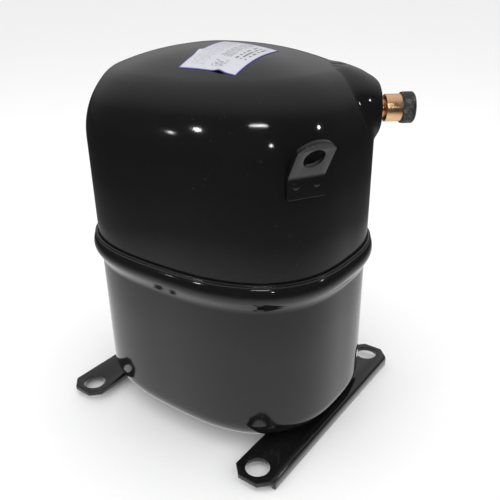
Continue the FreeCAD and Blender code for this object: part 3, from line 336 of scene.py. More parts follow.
@dataclass(frozen=True)
class Metal:
    """Bare or plated metal with tool marks along one axis, and tarnish."""

    colour: Colour
    roughness: float
    marks: Point = (900.0, 900.0, 40.0)
    depth: float = 0.000012
    tarnish: float = 0.25
    stain_scale: float = 60.0
    stain_limits: tuple[float, float] = (0.42, 0.72)

    def material(self, name: str) -> bpy.types.Material:
        """Build the material.

        Args:
            name: Its name.

        Returns:
            The material.
        """
        board = ShaderBoard(name)
        patch = board.grain(self.stain_scale, 5.0, roughness=0.65)
        lines = board.grain(1.0, 3.0, board.stretched(self.marks))
        stain = board.spread(patch, 0.0, 1.0, *self.stain_limits)
        dull = lighter(self.colour, 1.0 - self.tarnish)
        board.set(Base_Color=board.blend(stain, self.colour, dull), Metallic=1.0)
        wear = board.spread(lines, self.roughness * 0.75, self.roughness * 1.3, 0.3, 0.7)
        board.set(Roughness=board.math("ADD", wear, board.math("MULTIPLY", stain, 0.1)))
        board.relief(lines, self.depth)
        return board.material


@dataclass(frozen=True)
class Moulded:
    """Rubber, plastic, gasket sheet or wire insulation with a fine moulded grain."""

    colour: Colour
    roughness: float
    grain: float = 1400.0
    depth: float = 0.00002
    scuff: float = 0.15
    scuff_colour: Colour = (0.35, 0.35, 0.34)
    scuff_scale: float = 180.0
    scuff_limits: tuple[float, float] = (0.5, 0.68)

    def material(self, name: str) -> bpy.types.Material:
        """Build the material.

        Args:
            name: Its name.

        Returns:
            The material.
        """
        board = ShaderBoard(name)
        fine = board.grain(self.grain, 4.0)
        patch = board.grain(self.scuff_scale, 6.0, roughness=0.75)
        worn = board.spread(patch, 0.0, self.scuff, *self.scuff_limits)
        tint = board.blend(board.spread(fine, 0.0, 1.0, 0.3, 0.7), self.colour,
                           lighter(self.colour, 1.5))
        board.set(Base_Color=board.blend(worn, tint, self.scuff_colour))
        board.set(Roughness=board.spread(fine, self.roughness * 0.85, self.roughness * 1.1))
        board.relief(fine, self.depth)
        return board.material


@dataclass(frozen=True)
class Casting:
    """Sand-cast iron: dark, rough and pitted."""

    colour: Colour = (0.10, 0.10, 0.105)
    rust: Colour = (0.16, 0.07, 0.03)
    sand_scale: float = 700.0
    patch_scale: float = 45.0
    depth: float = 0.00025

    def material(self, name: str) -> bpy.types.Material:
        """Build the material.

        Args:
            name: Its name.

        Returns:
            The material.
        """
        board = ShaderBoard(name)
        sand = board.grain(self.sand_scale, 6.0, roughness=0.7)
        patch = board.grain(self.patch_scale, 4.0)
        tone = board.blend(patch, self.colour, lighter(self.colour, 2.1))
        rusted = board.spread(patch, 0.0, 0.25, 0.58, 0.75)
        board.set(Base_Color=board.blend(rusted, tone, self.rust), Metallic=0.75)
        board.set(Roughness=board.spread(sand, 0.45, 0.75))
        board.relief(sand, self.depth)
        return board.material


@dataclass(frozen=True)
class Stacked:
    """Punched sheets or wound wire: fine level lines."""

    colour: Colour
    pitch: float
    metallic: float = 0.9
    depth: float = 0.00015
    patch_scale: float = 70.0

    def material(self, name: str) -> bpy.types.Material:
        """Build the material.

        Args:
            name: Its name.

        Returns:
            The material.
        """
        board = ShaderBoard(name)
        wave = board.add("ShaderNodeTexWave", {
            "Vector": board.place, "Scale": WAVE_PERIOD / self.pitch, "Distortion": 0.4,
            "Detail": 2.0, "Detail Scale": 2.0}, bands_direction="Z")
        lines = wave.outputs["Fac"]
        patch = board.grain(self.patch_scale, 4.0)
        tone = board.blend(patch, self.colour, lighter(self.colour, 1.5))
        board.set(Base_Color=board.blend(lines, lighter(self.colour, 0.45), tone))
        board.set(Metallic=self.metallic, Roughness=board.spread(lines, 0.55, 0.3))
        board.relief(lines, self.depth)
        return board.material


@dataclass(frozen=True)
class SealGlass:
    """Cloudy sealing glass around the terminal pins."""

    colour: Colour = (0.30, 0.42, 0.36)
    cloud_scale: float = 500.0
    depth: float = 0.00003

    def material(self, name: str) -> bpy.types.Material:
        """Build the material.

        Args:
            name: Its name.

        Returns:
            The material.
        """
        board = ShaderBoard(name)
        cloud = board.grain(self.cloud_scale, 4.0)
        board.set(Base_Color=board.blend(cloud, self.colour, lighter(self.colour, 1.6)))
        board.set(Roughness=board.spread(cloud, 0.05, 0.2), Transmission_Weight=0.5, IOR=1.5)
        board.relief(cloud, self.depth)
        return board.material


@dataclass(frozen=True)
class PrintBlock:
    """A block of plain bars on the label.

    The area is its lowest and highest place across, then down, from 0 to 1.
    """

    rows: float
    cells: float
    area: tuple[float, float, float, float]
    strength: float
    upright: bool = False


@dataclass(frozen=True)
class PrintedFilm:
    """White label film with a violet border and rows of plain bars instead of print."""

    white: Colour = (0.50, 0.50, 0.54)
    violet: Colour = (0.11, 0.09, 0.42)
    ink: Colour = (0.10, 0.10, 0.13)
    border: float = 0.018
    bar_limits: tuple[float, float] = (0.25, 0.75)
    bar_odds: float = 0.34
    cockle: float = 0.0001
    blocks: tuple[PrintBlock, ...] = (
        PrintBlock(34.0, 60.0, (0.10, 0.90, 0.62, 0.92), 0.35),
        PrintBlock(34.0, 60.0, (0.36, 0.93, 0.36, 0.56), 0.8),
        PrintBlock(13.0, 26.0, (0.36, 0.90, 0.08, 0.32), 0.9),
        PrintBlock(30.0, 30.0, (0.09, 0.28, 0.30, 0.52), 0.8, True))

    def band(self, board: ShaderBoard, value: object, low: float, high: float) -> object:
        """Return 1 where a value lies between two limits, and 0 elsewhere.

        Args:
            board: The material's board.
            value: The value socket.
            low: Lower limit.
            high: Upper limit.

        Returns:
            The mask socket.
        """
        above = board.math("GREATER_THAN", value, low)
        return board.math("MULTIPLY", above, board.math("LESS_THAN", value, high))

    def panel(self, board: ShaderBoard, across: object, down: object,
              limits: tuple[float, float, float, float]) -> object:
        """Return a mask that is 1 inside a rectangle of the label.

        Args:
            board: The material's board.
            across: Place across the label, 0 to 1.
            down: Place down the label, 0 to 1.
            limits: Lowest and highest place across, then down.

        Returns:
            The mask socket.
        """
        columns = self.band(board, across, limits[0], limits[1])
        return board.math("MULTIPLY", columns, self.band(board, down, limits[2], limits[3]))

    def dashes(self, board: ShaderBoard, across: object, down: object, rows: float,
               cells: float) -> object:
        """Return rows of short bars of uneven length.

        Args:
            board: The material's board.
            across: Place along a row, 0 to 1.
            down: Place from row to row, 0 to 1.
            rows: Rows on the whole label.
            cells: Bars per row.

        Returns:
            The mask socket.
        """
        row = board.math("MULTIPLY", down, rows)
        inside = self.band(board, board.math("FRACT", row), *self.bar_limits)
        cell = board.add("ShaderNodeCombineXYZ", {
            "X": board.math("FLOOR", board.math("MULTIPLY", across, cells)),
            "Y": board.math("FLOOR", row)}).outputs[0]
        dice = board.add("ShaderNodeTexWhiteNoise", {"Vector": cell}, noise_dimensions="3D")
        shown = board.math("GREATER_THAN", dice.outputs["Value"], self.bar_odds)
        return board.math("MULTIPLY", inside, shown)

    def material(self, name: str) -> bpy.types.Material:
        """Build the material.

        Args:
            name: Its name.

        Returns:
            The material.
        """
        board = ShaderBoard(name)
        spot = board.add("ShaderNodeTexCoord", {}).outputs["UV"]
        parts = board.add("ShaderNodeSeparateXYZ", {"Vector": spot})
        across, down = parts.outputs["X"], parts.outputs["Y"]
        ink = 0.0
        for block in self.blocks:
            along, rowwise = (down, across) if block.upright else (across, down)
            bars = self.dashes(board, along, rowwise, block.rows, block.cells)
            patch = board.math("MULTIPLY", bars, self.panel(board, across, down, block.area))
            ink = board.math("MAXIMUM", ink, board.math("MULTIPLY", patch, block.strength))
        paper = board.blend(board.grain(260.0, 3.0), self.white, lighter(self.white, 1.08))
        printed = board.blend(ink, paper, self.ink)
        edges = (self.border, 1.0 - self.border)
        inside = self.panel(board, across, down, edges * 2)
        board.set(Base_Color=board.blend(inside, self.violet, printed))
        board.set(Roughness=board.spread(board.grain(900.0), 0.3, 0.42), Coat_Weight=0.3)
        board.relief(board.grain(90.0, 3.0), self.cockle, 0.4)
        return board.material


FINISHES: dict[Slot, object] = {
    Slot.PAINT: Enamel(),
    Slot.WELD: Enamel(roughness=0.09, peel=0.00012),
    Slot.COPPER: Metal((0.93, 0.58, 0.33), 0.26, (160.0, 160.0, 160.0), 0.000015, 0.12),
    Slot.COPPER_TUBE: Metal((0.80, 0.42, 0.24), 0.3, (300.0, 300.0, 300.0), 0.00002, 0.4),
    Slot.RUBBER: Moulded((0.012, 0.012, 0.012), 0.55, 900.0, 0.0001, 0.45, (0.26, 0.26, 0.25)),
    Slot.LABEL: PrintedFilm(),
    Slot.GLASS: SealGlass(),
    Slot.NICKEL: Metal((0.75, 0.73, 0.68), 0.2),
    Slot.BLACK_PLASTIC: Moulded((0.016, 0.016, 0.017), 0.42, 1700.0, 0.00003, 0.12,
                                (0.045, 0.045, 0.047)),
    Slot.GREY_PLASTIC: Moulded((0.16, 0.17, 0.18), 0.5),
    Slot.ZINC: Metal((0.62, 0.62, 0.60), 0.33, (700.0, 700.0, 700.0)),
    Slot.SPRING: Metal((0.22, 0.22, 0.23), 0.3, (800.0, 800.0, 800.0)),
    Slot.GROUND: Metal((0.58, 0.58, 0.59), 0.24, (1500.0, 1500.0, 60.0)),
    Slot.IRON: Casting(),
    Slot.ALUMINIUM: Metal((0.72, 0.73, 0.75), 0.4, (300.0, 300.0, 300.0), 0.00006),
    Slot.LAMINATION: Stacked((0.24, 0.25, 0.28), 0.0012),
    Slot.WINDING: Stacked((0.50, 0.17, 0.06), 0.0011, 0.85),
    Slot.BRONZE: Metal((0.62, 0.42, 0.20), 0.38, (400.0, 400.0, 400.0)),
    Slot.GASKET: Moulded((0.05, 0.065, 0.08), 0.75, 2200.0, 0.00004),
    Slot.LEAD: Moulded((0.42, 0.03, 0.02), 0.4, 1200.0, 0.00002),
}


class Paintbox:
    """Every finish as a material, made once."""

    def __init__(self) -> None:
        """Build all materials."""
        self.materials = {slot: finish.material(slot.value) for slot, finish in FINISHES.items()}

    def dress(self, piece: bpy.types.Object, slot: Slot) -> None:
        """Give a piece one finish.

        Args:
            piece: The mesh object.
            slot: The finish.
        """
        piece.data.materials.clear()
        piece.data.materials.append(self.materials[slot])


# ------------------------------------------------------------------ mesh helpers
def new_piece(name: str, mesh: bpy.types.Mesh) -> bpy.types.Object:
    """Put a mesh in the scene at the origin.

    Args:
        name: The object's name.
        mesh: Its mesh.

    Returns:
        The object.
    """
    piece = bpy.data.objects.new(name, mesh)
    bpy.context.scene.collection.objects.link(piece)
    return piece


def from_bmesh(name: str, shape: bmesh.types.BMesh, smooth: bool = True) -> bpy.types.Object:
    """Turn a finished bmesh into an object and free it.

    Args:
        name: The object's name.
        shape: The bmesh.
        smooth: Shade it smooth.

    Returns:
        The object.
    """
    mesh = bpy.data.meshes.new(name)
    for face in shape.faces:
        face.smooth = smooth
    shape.to_mesh(mesh)
    shape.free()
    return new_piece(name, mesh)


def baked(piece: bpy.types.Object) -> bpy.types.Object:
    """Apply every modifier of a piece and remove it.

    Args:
        piece: The object.

    Returns:
        The same object with a plain mesh.
    """
    graph = bpy.context.evaluated_depsgraph_get()
    mesh = bpy.data.meshes.new_from_object(piece.evaluated_get(graph))
    piece.modifiers.clear()
    piece.data = mesh
    return piece


def bevelled(piece: bpy.types.Object, width: float, segments: int = 2,
             angle: float = 32.0) -> bpy.types.Object:
    """Round the sharp edges of a piece.

    Args:
        piece: The object.
        width: Width of the rounding.
        segments: Steps across it.
        angle: Edges sharper than this many degrees are rounded.

    Returns:
        The same object.
    """
    bevel = piece.modifiers.new("edges", "BEVEL")
    bevel.width = width
    bevel.segments = segments
    bevel.limit_method = "ANGLE"
    bevel.angle_limit = math.radians(angle)
    bevel.harden_normals = True
    return baked(piece)


def softened(name: str, node: bpy.types.Object, width: float) -> bpy.types.Object:
    """Copy a frame node and round its sharp edges.

    Args:
        name: The new piece's name.
        node: The frame node's object.
        width: Width of the rounding.

    Returns:
        The new piece, without a finish.
    """
    shape = bmesh.new()
    shape.from_mesh(node.data)
    bmesh.ops.remove_doubles(shape, verts=shape.verts, dist=MERGE)
    flat = math.radians(0.4)
    bmesh.ops.dissolve_limit(shape, angle_limit=flat, verts=shape.verts, edges=shape.edges)
    return bevelled(from_bmesh(name, shape), width)


def lathe(name: str, outline: Iterable[tuple[float, float]], frame: Matrix,
          steps: int = 96) -> bpy.types.Object:
    """Turn a closed outline of (radius, length) points around the frame's Z axis.

    Args:
        name: The piece's name.
        outline: The outline, which starts and ends on the axis or closes on itself.
        frame: Where the axis lies.
        steps: Facets around.

    Returns:
        The piece.
    """
    shape = bmesh.new()
    points = list(outline)
    rings = []
    for i in range(steps):
        turn = Matrix.Rotation(2 * math.pi * i / steps, 3, "Z")
        rings.append([shape.verts.new(frame @ (turn @ Vector((r, 0.0, z)))) for r, z in points])
    for i, ring in enumerate(rings):
        following = rings[(i + 1) % steps]
        for j in range(len(points)):
            k = (j + 1) % len(points)
            shape.faces.new((ring[j], following[j], following[k], ring[k]))
    bmesh.ops.remove_doubles(shape, verts=shape.verts, dist=1e-7)
    bmesh.ops.dissolve_degenerate(shape, edges=shape.edges, dist=1e-8)
    bmesh.ops.recalc_face_normals(shape, faces=shape.faces)
    return from_bmesh(name, shape)


def rounded(corners: list[tuple[float, float, float]], steps: int = 4) -> list[tuple[float, float]]:
    """Round the corners of a closed outline.

    Args:
        corners: (x, y, radius) for each corner.
        steps: Points on each rounding.

    Returns:
        The outline's points.
    """
    result = []
    count = len(corners)
    for i, (x, y, radius) in enumerate(corners):
        here = Vector((x, y))
        if radius <= 0.0:
            result.append((x, y))
            continue
        back = (Vector(corners[i - 1][:2]) - here).normalized()
        ahead = (Vector(corners[(i + 1) % count][:2]) - here).normalized()
        half = back.angle(ahead) / 2
        setback = radius / math.tan(half)
        middle = (back + ahead).normalized()
        centre = here + middle * (radius / math.sin(half))
        start, end = here + back * setback - centre, here + ahead * setback - centre
        swing = start.angle_signed(end)
        for j in range(steps + 1):
            arm = start.copy()
            arm.rotate(Matrix.Rotation(-swing * j / steps, 2))
            result.append(tuple(centre + arm))
    return result


def flat_plate(name: str, outline: list[tuple[float, float]], holes: list[Point], thickness: float,
               edge: float) -> bpy.types.Mesh:
    """Make a plate with round holes and rounded edges, lying on z = 0.

    Args:
        name: Name of the mesh.
        outline: Corners of the plate.
        holes: (x, y, radius) of each hole.
        thickness: Its thickness.
        edge: Width of the rounded edge.

    Returns:
        The mesh.
    """
    curve = bpy.data.curves.new(name, "CURVE")
    curve.dimensions = "2D"
    curve.fill_mode = "BOTH"
    curve.extrude = thickness / 2 - edge
    curve.bevel_depth = edge
    curve.bevel_resolution = 2
    curve.offset = -edge
    rings, steps = [outline], 48
    for x, y, radius in holes:
        rings.append([(x + radius * math.cos(math.tau * i / steps),
                       y + radius * math.sin(math.tau * i / steps)) for i in range(steps)])
    for ring in rings:
        spline = curve.splines.new("POLY")
        spline.points.add(len(ring) - 1)
        spline.use_cyclic_u = True
        for point, (x, y) in zip(spline.points, ring):
            point.co = (x, y, 0.0, 1.0)
    holder = new_piece(name, curve)
    graph = bpy.context.evaluated_depsgraph_get()
    mesh = bpy.data.meshes.new_from_object(holder.evaluated_get(graph))
    bpy.data.objects.remove(holder)
    mesh.transform(Matrix.Translation((0.0, 0.0, thickness / 2)))
    return mesh


# ------------------------------------------------------------------ geometry node trees
class TreeBuilder(NodeBoard):
    """A geometry node tree under construction."""

    def __init__(self, name: str) -> None:
        """Start a tree with a geometry output.

        Args:
            name: The tree's name.
        """
        super().__init__(bpy.data.node_groups.new(name, "GeometryNodeTree"))
        self.tree.interface.new_socket("Geometry", in_out="OUTPUT",
                                       socket_type="NodeSocketGeometry")
        self.source = self.tree.nodes.new("NodeGroupInput")
        self.sink = self.tree.nodes.new("NodeGroupOutput")

    def size(self, name: str, kind: str = "Float") -> bpy.types.NodeSocket:
        """Add a named input.

        Args:
            name: The input's name.
            kind: Float, Int, Object or Material.

        Returns:
            The socket inside the tree.
        """
        self.tree.interface.new_socket(name, in_out="INPUT", socket_type=f"NodeSocket{kind}")
        return self.source.outputs[name]

    def vector(self, x: object, y: object, z: object) -> bpy.types.NodeSocket:
        """Join three numbers into a vector.

        Args:
            x: First part.
            y: Second part.
            z: Third part.

        Returns:
            The vector socket.
        """
        return self.add("ShaderNodeCombineXYZ", {"X": x, "Y": y, "Z": z}).outputs[0]

    def finish(self, geometry: bpy.types.NodeSocket) -> bpy.types.NodeTree:
        """Realize the instances, set the finish and close the tree.

        Args:
            geometry: The built geometry.

        Returns:
            The finished tree.
        """
        finish = self.size("Finish", "Material")
        real = self.add("GeometryNodeRealizeInstances", {0: geometry}).outputs[0]
        dressed = self.add("GeometryNodeSetMaterial", {"Geometry": real, "Material": finish})
        self.tree.links.new(dressed.outputs[0], self.sink.inputs["Geometry"])
        return self.tree


def grow(name: str, tree: bpy.types.NodeTree, values: dict[str, object]) -> bpy.types.Object:
    """Run a geometry node tree and keep its result as a plain mesh.

    Args:
        name: The piece's name.
        tree: The tree.
        values: A value for each named input.

    Returns:
        The piece.
    """
    piece = new_piece(name, bpy.data.meshes.new(name))
    modifier = piece.modifiers.new("grow", "NODES")
    modifier.node_group = tree
    for item in tree.interface.items_tree:
        if item.in_out == "INPUT":
            modifier[item.identifier] = values[item.name]
    return baked(piece)


def oval_reach(build: TreeBuilder, turn: object, half_x: object, half_y: object,
               power: object) -> bpy.types.NodeSocket:
    """Return the distance from the centre to a rounded oval along a direction.

    Args:
        build: The tree.
        turn: The direction's angle.
        half_x: Half the length along X.
        half_y: Half the length along Y.
        power: The oval's power, 2 for an ellipse.

    Returns:
        The distance socket.
    """
    terms = []
    for function, half in (("COSINE", half_x), ("SINE", half_y)):
        side = build.math("ABSOLUTE", build.math(function, turn))
        terms.append(build.math("POWER", build.math("DIVIDE", side, half), power))
    inverse = build.math("DIVIDE", -1.0, power)
    return build.math("POWER", build.math("ADD", *terms), inverse)


def pressing_tree() -> bpy.types.NodeTree:
    """Return the tree that carries a wall section around the oval plan of the shell.

    The section is a row of points (inset, ratio, level). Each gives one oval.
    """
    build = TreeBuilder("pressing")
    section, around = build.size("Section", "Object"), build.size("Around", "Int")
    half_x, half_y = build.size("Half X"), build.size("Half Y")
    power, dense, toward = build.size("Power"), build.size("Dense"), build.size("Toward")
    points = build.add("GeometryNodeObjectInfo", {"Object": section}).outputs["Geometry"]
    rows = build.add("GeometryNodeAttributeDomainSize", {"Geometry": points}).outputs[0]
    sheet = build.add("GeometryNodeMeshGrid", {
        "Size X": 1.0, "Size Y": 1.0, "Vertices X": build.math("ADD", around, 1.0),
        "Vertices Y": rows}).outputs["Mesh"]
    index = build.add("GeometryNodeInputIndex", {}).outputs[0]
    row = build.math("MODULO", index, rows)
    column = build.math("FLOOR", build.math("DIVIDE", build.math("ADD", index, 0.5), rows))
    share = build.math("MULTIPLY", build.math("DIVIDE", column, around), math.tau)
    bunch = build.math("SINE", build.math("SUBTRACT", share, toward))
    turn = build.math("SUBTRACT", share, build.math("MULTIPLY", bunch, dense))
    place = build.add("GeometryNodeInputPosition", {}).outputs[0]
    sample = build.add("GeometryNodeSampleIndex", {"Geometry": points, "Value": place,
                                                   "Index": row}, data_type="FLOAT_VECTOR")
    parts = build.add("ShaderNodeSeparateXYZ", {"Vector": sample.outputs[0]}).outputs
    halves = [build.math("MAXIMUM", build.math("MULTIPLY", build.math(
        "SUBTRACT", half, parts["X"]), parts["Y"]), MERGE / 10) for half in (half_x, half_y)]
    reach = oval_reach(build, turn, *halves, power)
    spot = build.vector(build.math("MULTIPLY", reach, build.math("COSINE", turn)),
                        build.math("MULTIPLY", reach, build.math("SINE", turn)), parts["Z"])
    formed = build.add("GeometryNodeSetPosition", {"Geometry": sheet, "Position": spot}).outputs[0]
    closed = build.add("GeometryNodeMergeByDistance", {"Geometry": formed, "Distance": 2 * MERGE})
    smooth = build.add("GeometryNodeSetShadeSmooth", {"Geometry": closed.outputs[0]}).outputs[0]
    return build.finish(smooth)


def bead_tree() -> bpy.types.NodeTree:
    """Return the tree that lays a rippled weld bead along a closed line."""
    build = TreeBuilder("rippled_bead")
    line, count = build.size("Line", "Object"), build.size("Ripples", "Int")
    radius, ripple = build.size("Radius"), build.size("Ripple")
    drift, fineness = build.size("Drift"), build.size("Drift Scale")
    points_per_ripple = 6.0
    mesh = build.add("GeometryNodeObjectInfo", {"Object": line}).outputs["Geometry"]
    curve = build.add("GeometryNodeMeshToCurve", {"Mesh": mesh}).outputs[0]
    steps = build.math("MULTIPLY", count, points_per_ripple)
    even = build.add("GeometryNodeResampleCurve", {"Curve": curve, "Count": steps}).outputs[0]
    index = build.add("GeometryNodeInputIndex", {}).outputs[0]
    phase = build.math("FRACT", build.math("DIVIDE", index, points_per_ripple))
    scale = build.math("MULTIPLY", phase, ripple)
    place = build.add("GeometryNodeInputPosition", {}).outputs[0]
    uneven = build.add("ShaderNodeTexNoise", {"Vector": place, "Scale": fineness, "Detail": 3.0})
    wander = build.math("MULTIPLY", build.math("SUBTRACT", uneven.outputs[0], 0.5), drift)
    size = build.math("ADD", build.math("ADD", 1.0, scale), wander)
    swollen = build.add("GeometryNodeSetCurveRadius", {"Curve": even, "Radius": size}).outputs[0]
    ring = build.add("GeometryNodeCurvePrimitiveCircle", {"Resolution": 12, "Radius": radius})
    bead = build.add("GeometryNodeCurveToMesh", {"Curve": swollen,
                                                 "Profile Curve": ring.outputs[0]}).outputs[0]
    return build.finish(build.add("GeometryNodeSetShadeSmooth", {"Geometry": bead}).outputs[0])


def spatter_tree() -> bpy.types.NodeTree:
    """Return the tree that scatters small weld droplets beside a closed line."""
    build = TreeBuilder("spatter")
    line, count, seed = (build.size("Line", "Object"), build.size("Drops", "Int"),
                         build.size("Seed", "Int"))
    radius, stray = build.size("Radius"), build.size("Stray")
    mesh = build.add("GeometryNodeObjectInfo", {"Object": line}).outputs["Geometry"]
    curve = build.add("GeometryNodeMeshToCurve", {"Mesh": mesh}).outputs[0]
    points = build.add("GeometryNodeCurveToPoints", {"Curve": curve, "Count": count}).outputs[0]
    low = build.math("MULTIPLY", stray, -1.0)
    away = build.add("FunctionNodeRandomValue", {
        0: build.vector(low, low, low), 1: build.vector(stray, stray, 0.0), "Seed": seed},
        data_type="FLOAT_VECTOR").outputs[0]
    moved = build.add("GeometryNodeSetPosition", {"Geometry": points, "Offset": away}).outputs[0]
    drop = build.add("GeometryNodeMeshIcoSphere", {"Radius": radius, "Subdivisions": 1}).outputs[0]
    size = build.add("FunctionNodeRandomValue", {2: 0.25, 3: 1.0, "Seed": seed},
                     data_type="FLOAT").outputs[1]
    drops = build.add("GeometryNodeInstanceOnPoints", {"Points": moved, "Instance": drop,
                                                       "Scale": size}).outputs[0]
    return build.finish(drops)


# ------------------------------------------------------------------ the shell
@dataclass
class ShellPlan:
    """The oval plan and the dome's section, in metres."""

    half_x: float = 116.4 * MM
    half_y: float = 93.5 * MM
    power: float = 2.66
    sheet: float = 3.6 * MM
    shoulder_level: float = 237.0 * MM
    shoulder_radius: float = 72.0 * MM
    shoulder_angle: float = 41.0
    brow_radius: float = 30.0 * MM
    brow_angle: float = 65.0
    crown_rise: float = 16.4 * MM
    crown_power: float = 2.1
    wall_bunching: float = 1.6

    def point(self, turn: float, inset: float = 0.0) -> tuple[float, float]:
        """Return the oval's point in a direction from the centre.

        Args:
            turn: The direction in radians.
            inset: Distance inside the wall's outer face.

        Returns:
            Its X and Y.
        """
        across, along = math.cos(turn), math.sin(turn)
        terms = (abs(across / (self.half_x - inset)) ** self.power
                 + abs(along / (self.half_y - inset)) ** self.power)
        reach = terms ** (-1 / self.power)
        return reach * across, reach * along

    def wall_point(self, normal: float) -> Vector:
        """Return the wall's point whose outward normal has this direction.

        Args:
            normal: The direction in degrees.

        Returns:
            The point, at level 0.
        """
        turn = math.radians(normal)
        pull_x, pull_y = self.half_x * math.cos(turn), self.half_y * math.sin(turn)
        share = 1 / (self.power - 1)
        total = sum(abs(pull) ** (self.power * share) for pull in (pull_x, pull_y))
        total **= 1 / self.power
        x = math.copysign(self.half_x * abs(pull_x) ** share / total, pull_x)
        y = math.copysign(self.half_y * abs(pull_y) ** share / total, pull_y)
        return Vector((x, y, 0.0))

    def wall_frame(self, normal: float, level: float, proud: float) -> Matrix:
        """Return a frame on the wall whose Z points outwards and whose Y points up.

        Args:
            normal: The direction in degrees.
            level: Height of the frame's origin.
            proud: Its distance outside the wall.

        Returns:
            The frame.
        """
        turn = math.radians(normal)
        out = Vector((math.cos(turn), math.sin(turn), 0.0))
        spot = self.wall_point(normal) + out * proud
        spot.z = level
        return facing(out, spot)

    def brow(self, depth: float = 0.0) -> tuple[float, float]:
        """Return the inset and level where the crown starts.

        Args:
            depth: Distance inside the outer face.

        Returns:
            Inset from the plan, and level.
        """
        first, last = math.radians(self.shoulder_angle), math.radians(self.brow_angle)
        reach, small = self.shoulder_radius - self.brow_radius, self.brow_radius - depth
        inset = self.shoulder_radius - reach * math.cos(first) - small * math.cos(last)
        return inset, self.shoulder_level + reach * math.sin(first) + small * math.sin(last)

    def crown(self, x: float, y: float) -> float:
        """Return the crown's height above a point in plan.

        Args:
            x: The point's X.
            y: The point's Y.

        Returns:
            The level of the outer face.
        """
        inset, level = self.brow()
        ratio = ((abs(x) / (self.half_x - inset)) ** self.power
                 + (abs(y) / (self.half_y - inset)) ** self.power) ** (1 / self.power)
        return level + self.crown_rise * (1 - ratio ** self.crown_power)

    def dome(self, depth: float, foot: float, fine: bool) -> list[Point]:
        """Return the dome's section from its pole down to its foot.

        Args:
            depth: Distance inside the outer face.
            foot: Level of the lower edge.
            fine: Use closely spaced points.

        Returns:
            Points (inset, ratio, level).
        """
        crown_steps, arc_steps, wall_steps = (34, 26, 46) if fine else (10, 8, 6)
        first, last = math.radians(self.shoulder_angle), math.radians(self.brow_angle)
        inset, level = self.brow(depth)
        lift = self.crown_rise + depth * math.sin(last) - depth
        points = []
        for i in range(crown_steps):
            ratio = i / crown_steps
            points.append((inset, ratio, level + lift * (1 - ratio ** self.crown_power)))
        reach, small = self.shoulder_radius - self.brow_radius, self.brow_radius - depth
        for i in range(arc_steps // 2):
            turn = last + (first - last) * i / (arc_steps // 2)
            points.append((self.shoulder_radius - reach * math.cos(first) - small * math.cos(turn),
                           1.0, self.shoulder_level + reach * math.sin(first)
                           + small * math.sin(turn)))
        big = self.shoulder_radius - depth
        for i in range(arc_steps * 2):
            turn = first * (1 - i / (arc_steps * 2))
            points.append((self.shoulder_radius - big * math.cos(turn), 1.0,
                           self.shoulder_level + big * math.sin(turn)))
        for i in range(wall_steps + 1):
            share = (i / wall_steps) ** self.wall_bunching
            points.append((depth, 1.0, self.shoulder_level + (foot - self.shoulder_level) * share))
        return points


@dataclass
class Boss:
    """The flat round facet pressed out for the suction stub."""

    direction: float = 38.0
    reach: float = 117.5 * MM
    side: float = -22.6 * MM
    level: float = 259.0 * MM
    face: float = 21.0 * MM
    foot: float = 30.0 * MM
    depth: float = 15.0 * MM
    soft: float = 3.5 * MM
    fade: float = 120.0
    fade_start: float = 0.92
    back_limit: float = 2.5
    side_limit: float = 1.6

    def frame(self) -> Matrix:
        """Return the frame of the facet: Z points outwards from its centre."""
        turn = math.radians(self.direction)
        out = Vector((math.cos(turn), math.sin(turn), 0.0))
        across = Vector((-out.y, out.x, 0.0))
        spot = out * self.reach + across * self.side + Vector((0.0, 0.0, self.level))
        return facing(out, spot)

    def push(self, piece: bpy.types.Object) -> None:
        """Push the outer skin of the dome out onto the facet and its cone.

        Args:
            piece: The dome.
        """
        frame = self.frame()
        inverse = frame.inverted()
        out = frame.to_3x3() @ Vector((0.0, 0.0, 1.0))
        slope = self.depth / (self.foot - self.face)
        normals = [vertex.normal.copy() for vertex in piece.data.vertices]
        for vertex, normal in zip(piece.data.vertices, normals):
            spot = inverse @ vertex.co
            radius = math.hypot(spot.x, spot.y)
            too_deep = spot.z < -self.depth * self.back_limit
            if normal.dot(out) < 0.0 or too_deep or radius > self.foot * self.side_limit:
                continue
            beyond = max(radius - self.foot * self.fade_start, 0.0)
            cone = -slope * soft_max(radius - self.face, 0.0, self.soft) - self.fade * beyond ** 2
            spot.z = soft_max(spot.z, cone, self.soft)
            vertex.co = frame @ spot
        piece.data.update()


def facing(out: Vector, spot: Vector) -> Matrix:
    """Return a frame at a spot whose Z points outwards and whose Y points up.

    Args:
        out: Horizontal unit vector.
        spot: The frame's origin.

    Returns:
        The frame.
    """
    up = Vector((0.0, 0.0, 1.0))
    turn = Matrix((up.cross(out), up, out)).transposed()
    return Matrix.Translation(spot) @ turn.to_4x4()


def soft_max(first: float, second: float, width: float) -> float:
    """Return the larger of two numbers, rounded where they are close.

    Args:
        first: One number.
        second: The other.
        width: Width of the rounding.

    Returns:
        The soft maximum.
    """
    gap = max(width - abs(first - second), 0.0) / width
    return max(first, second) + gap * gap * width / 4


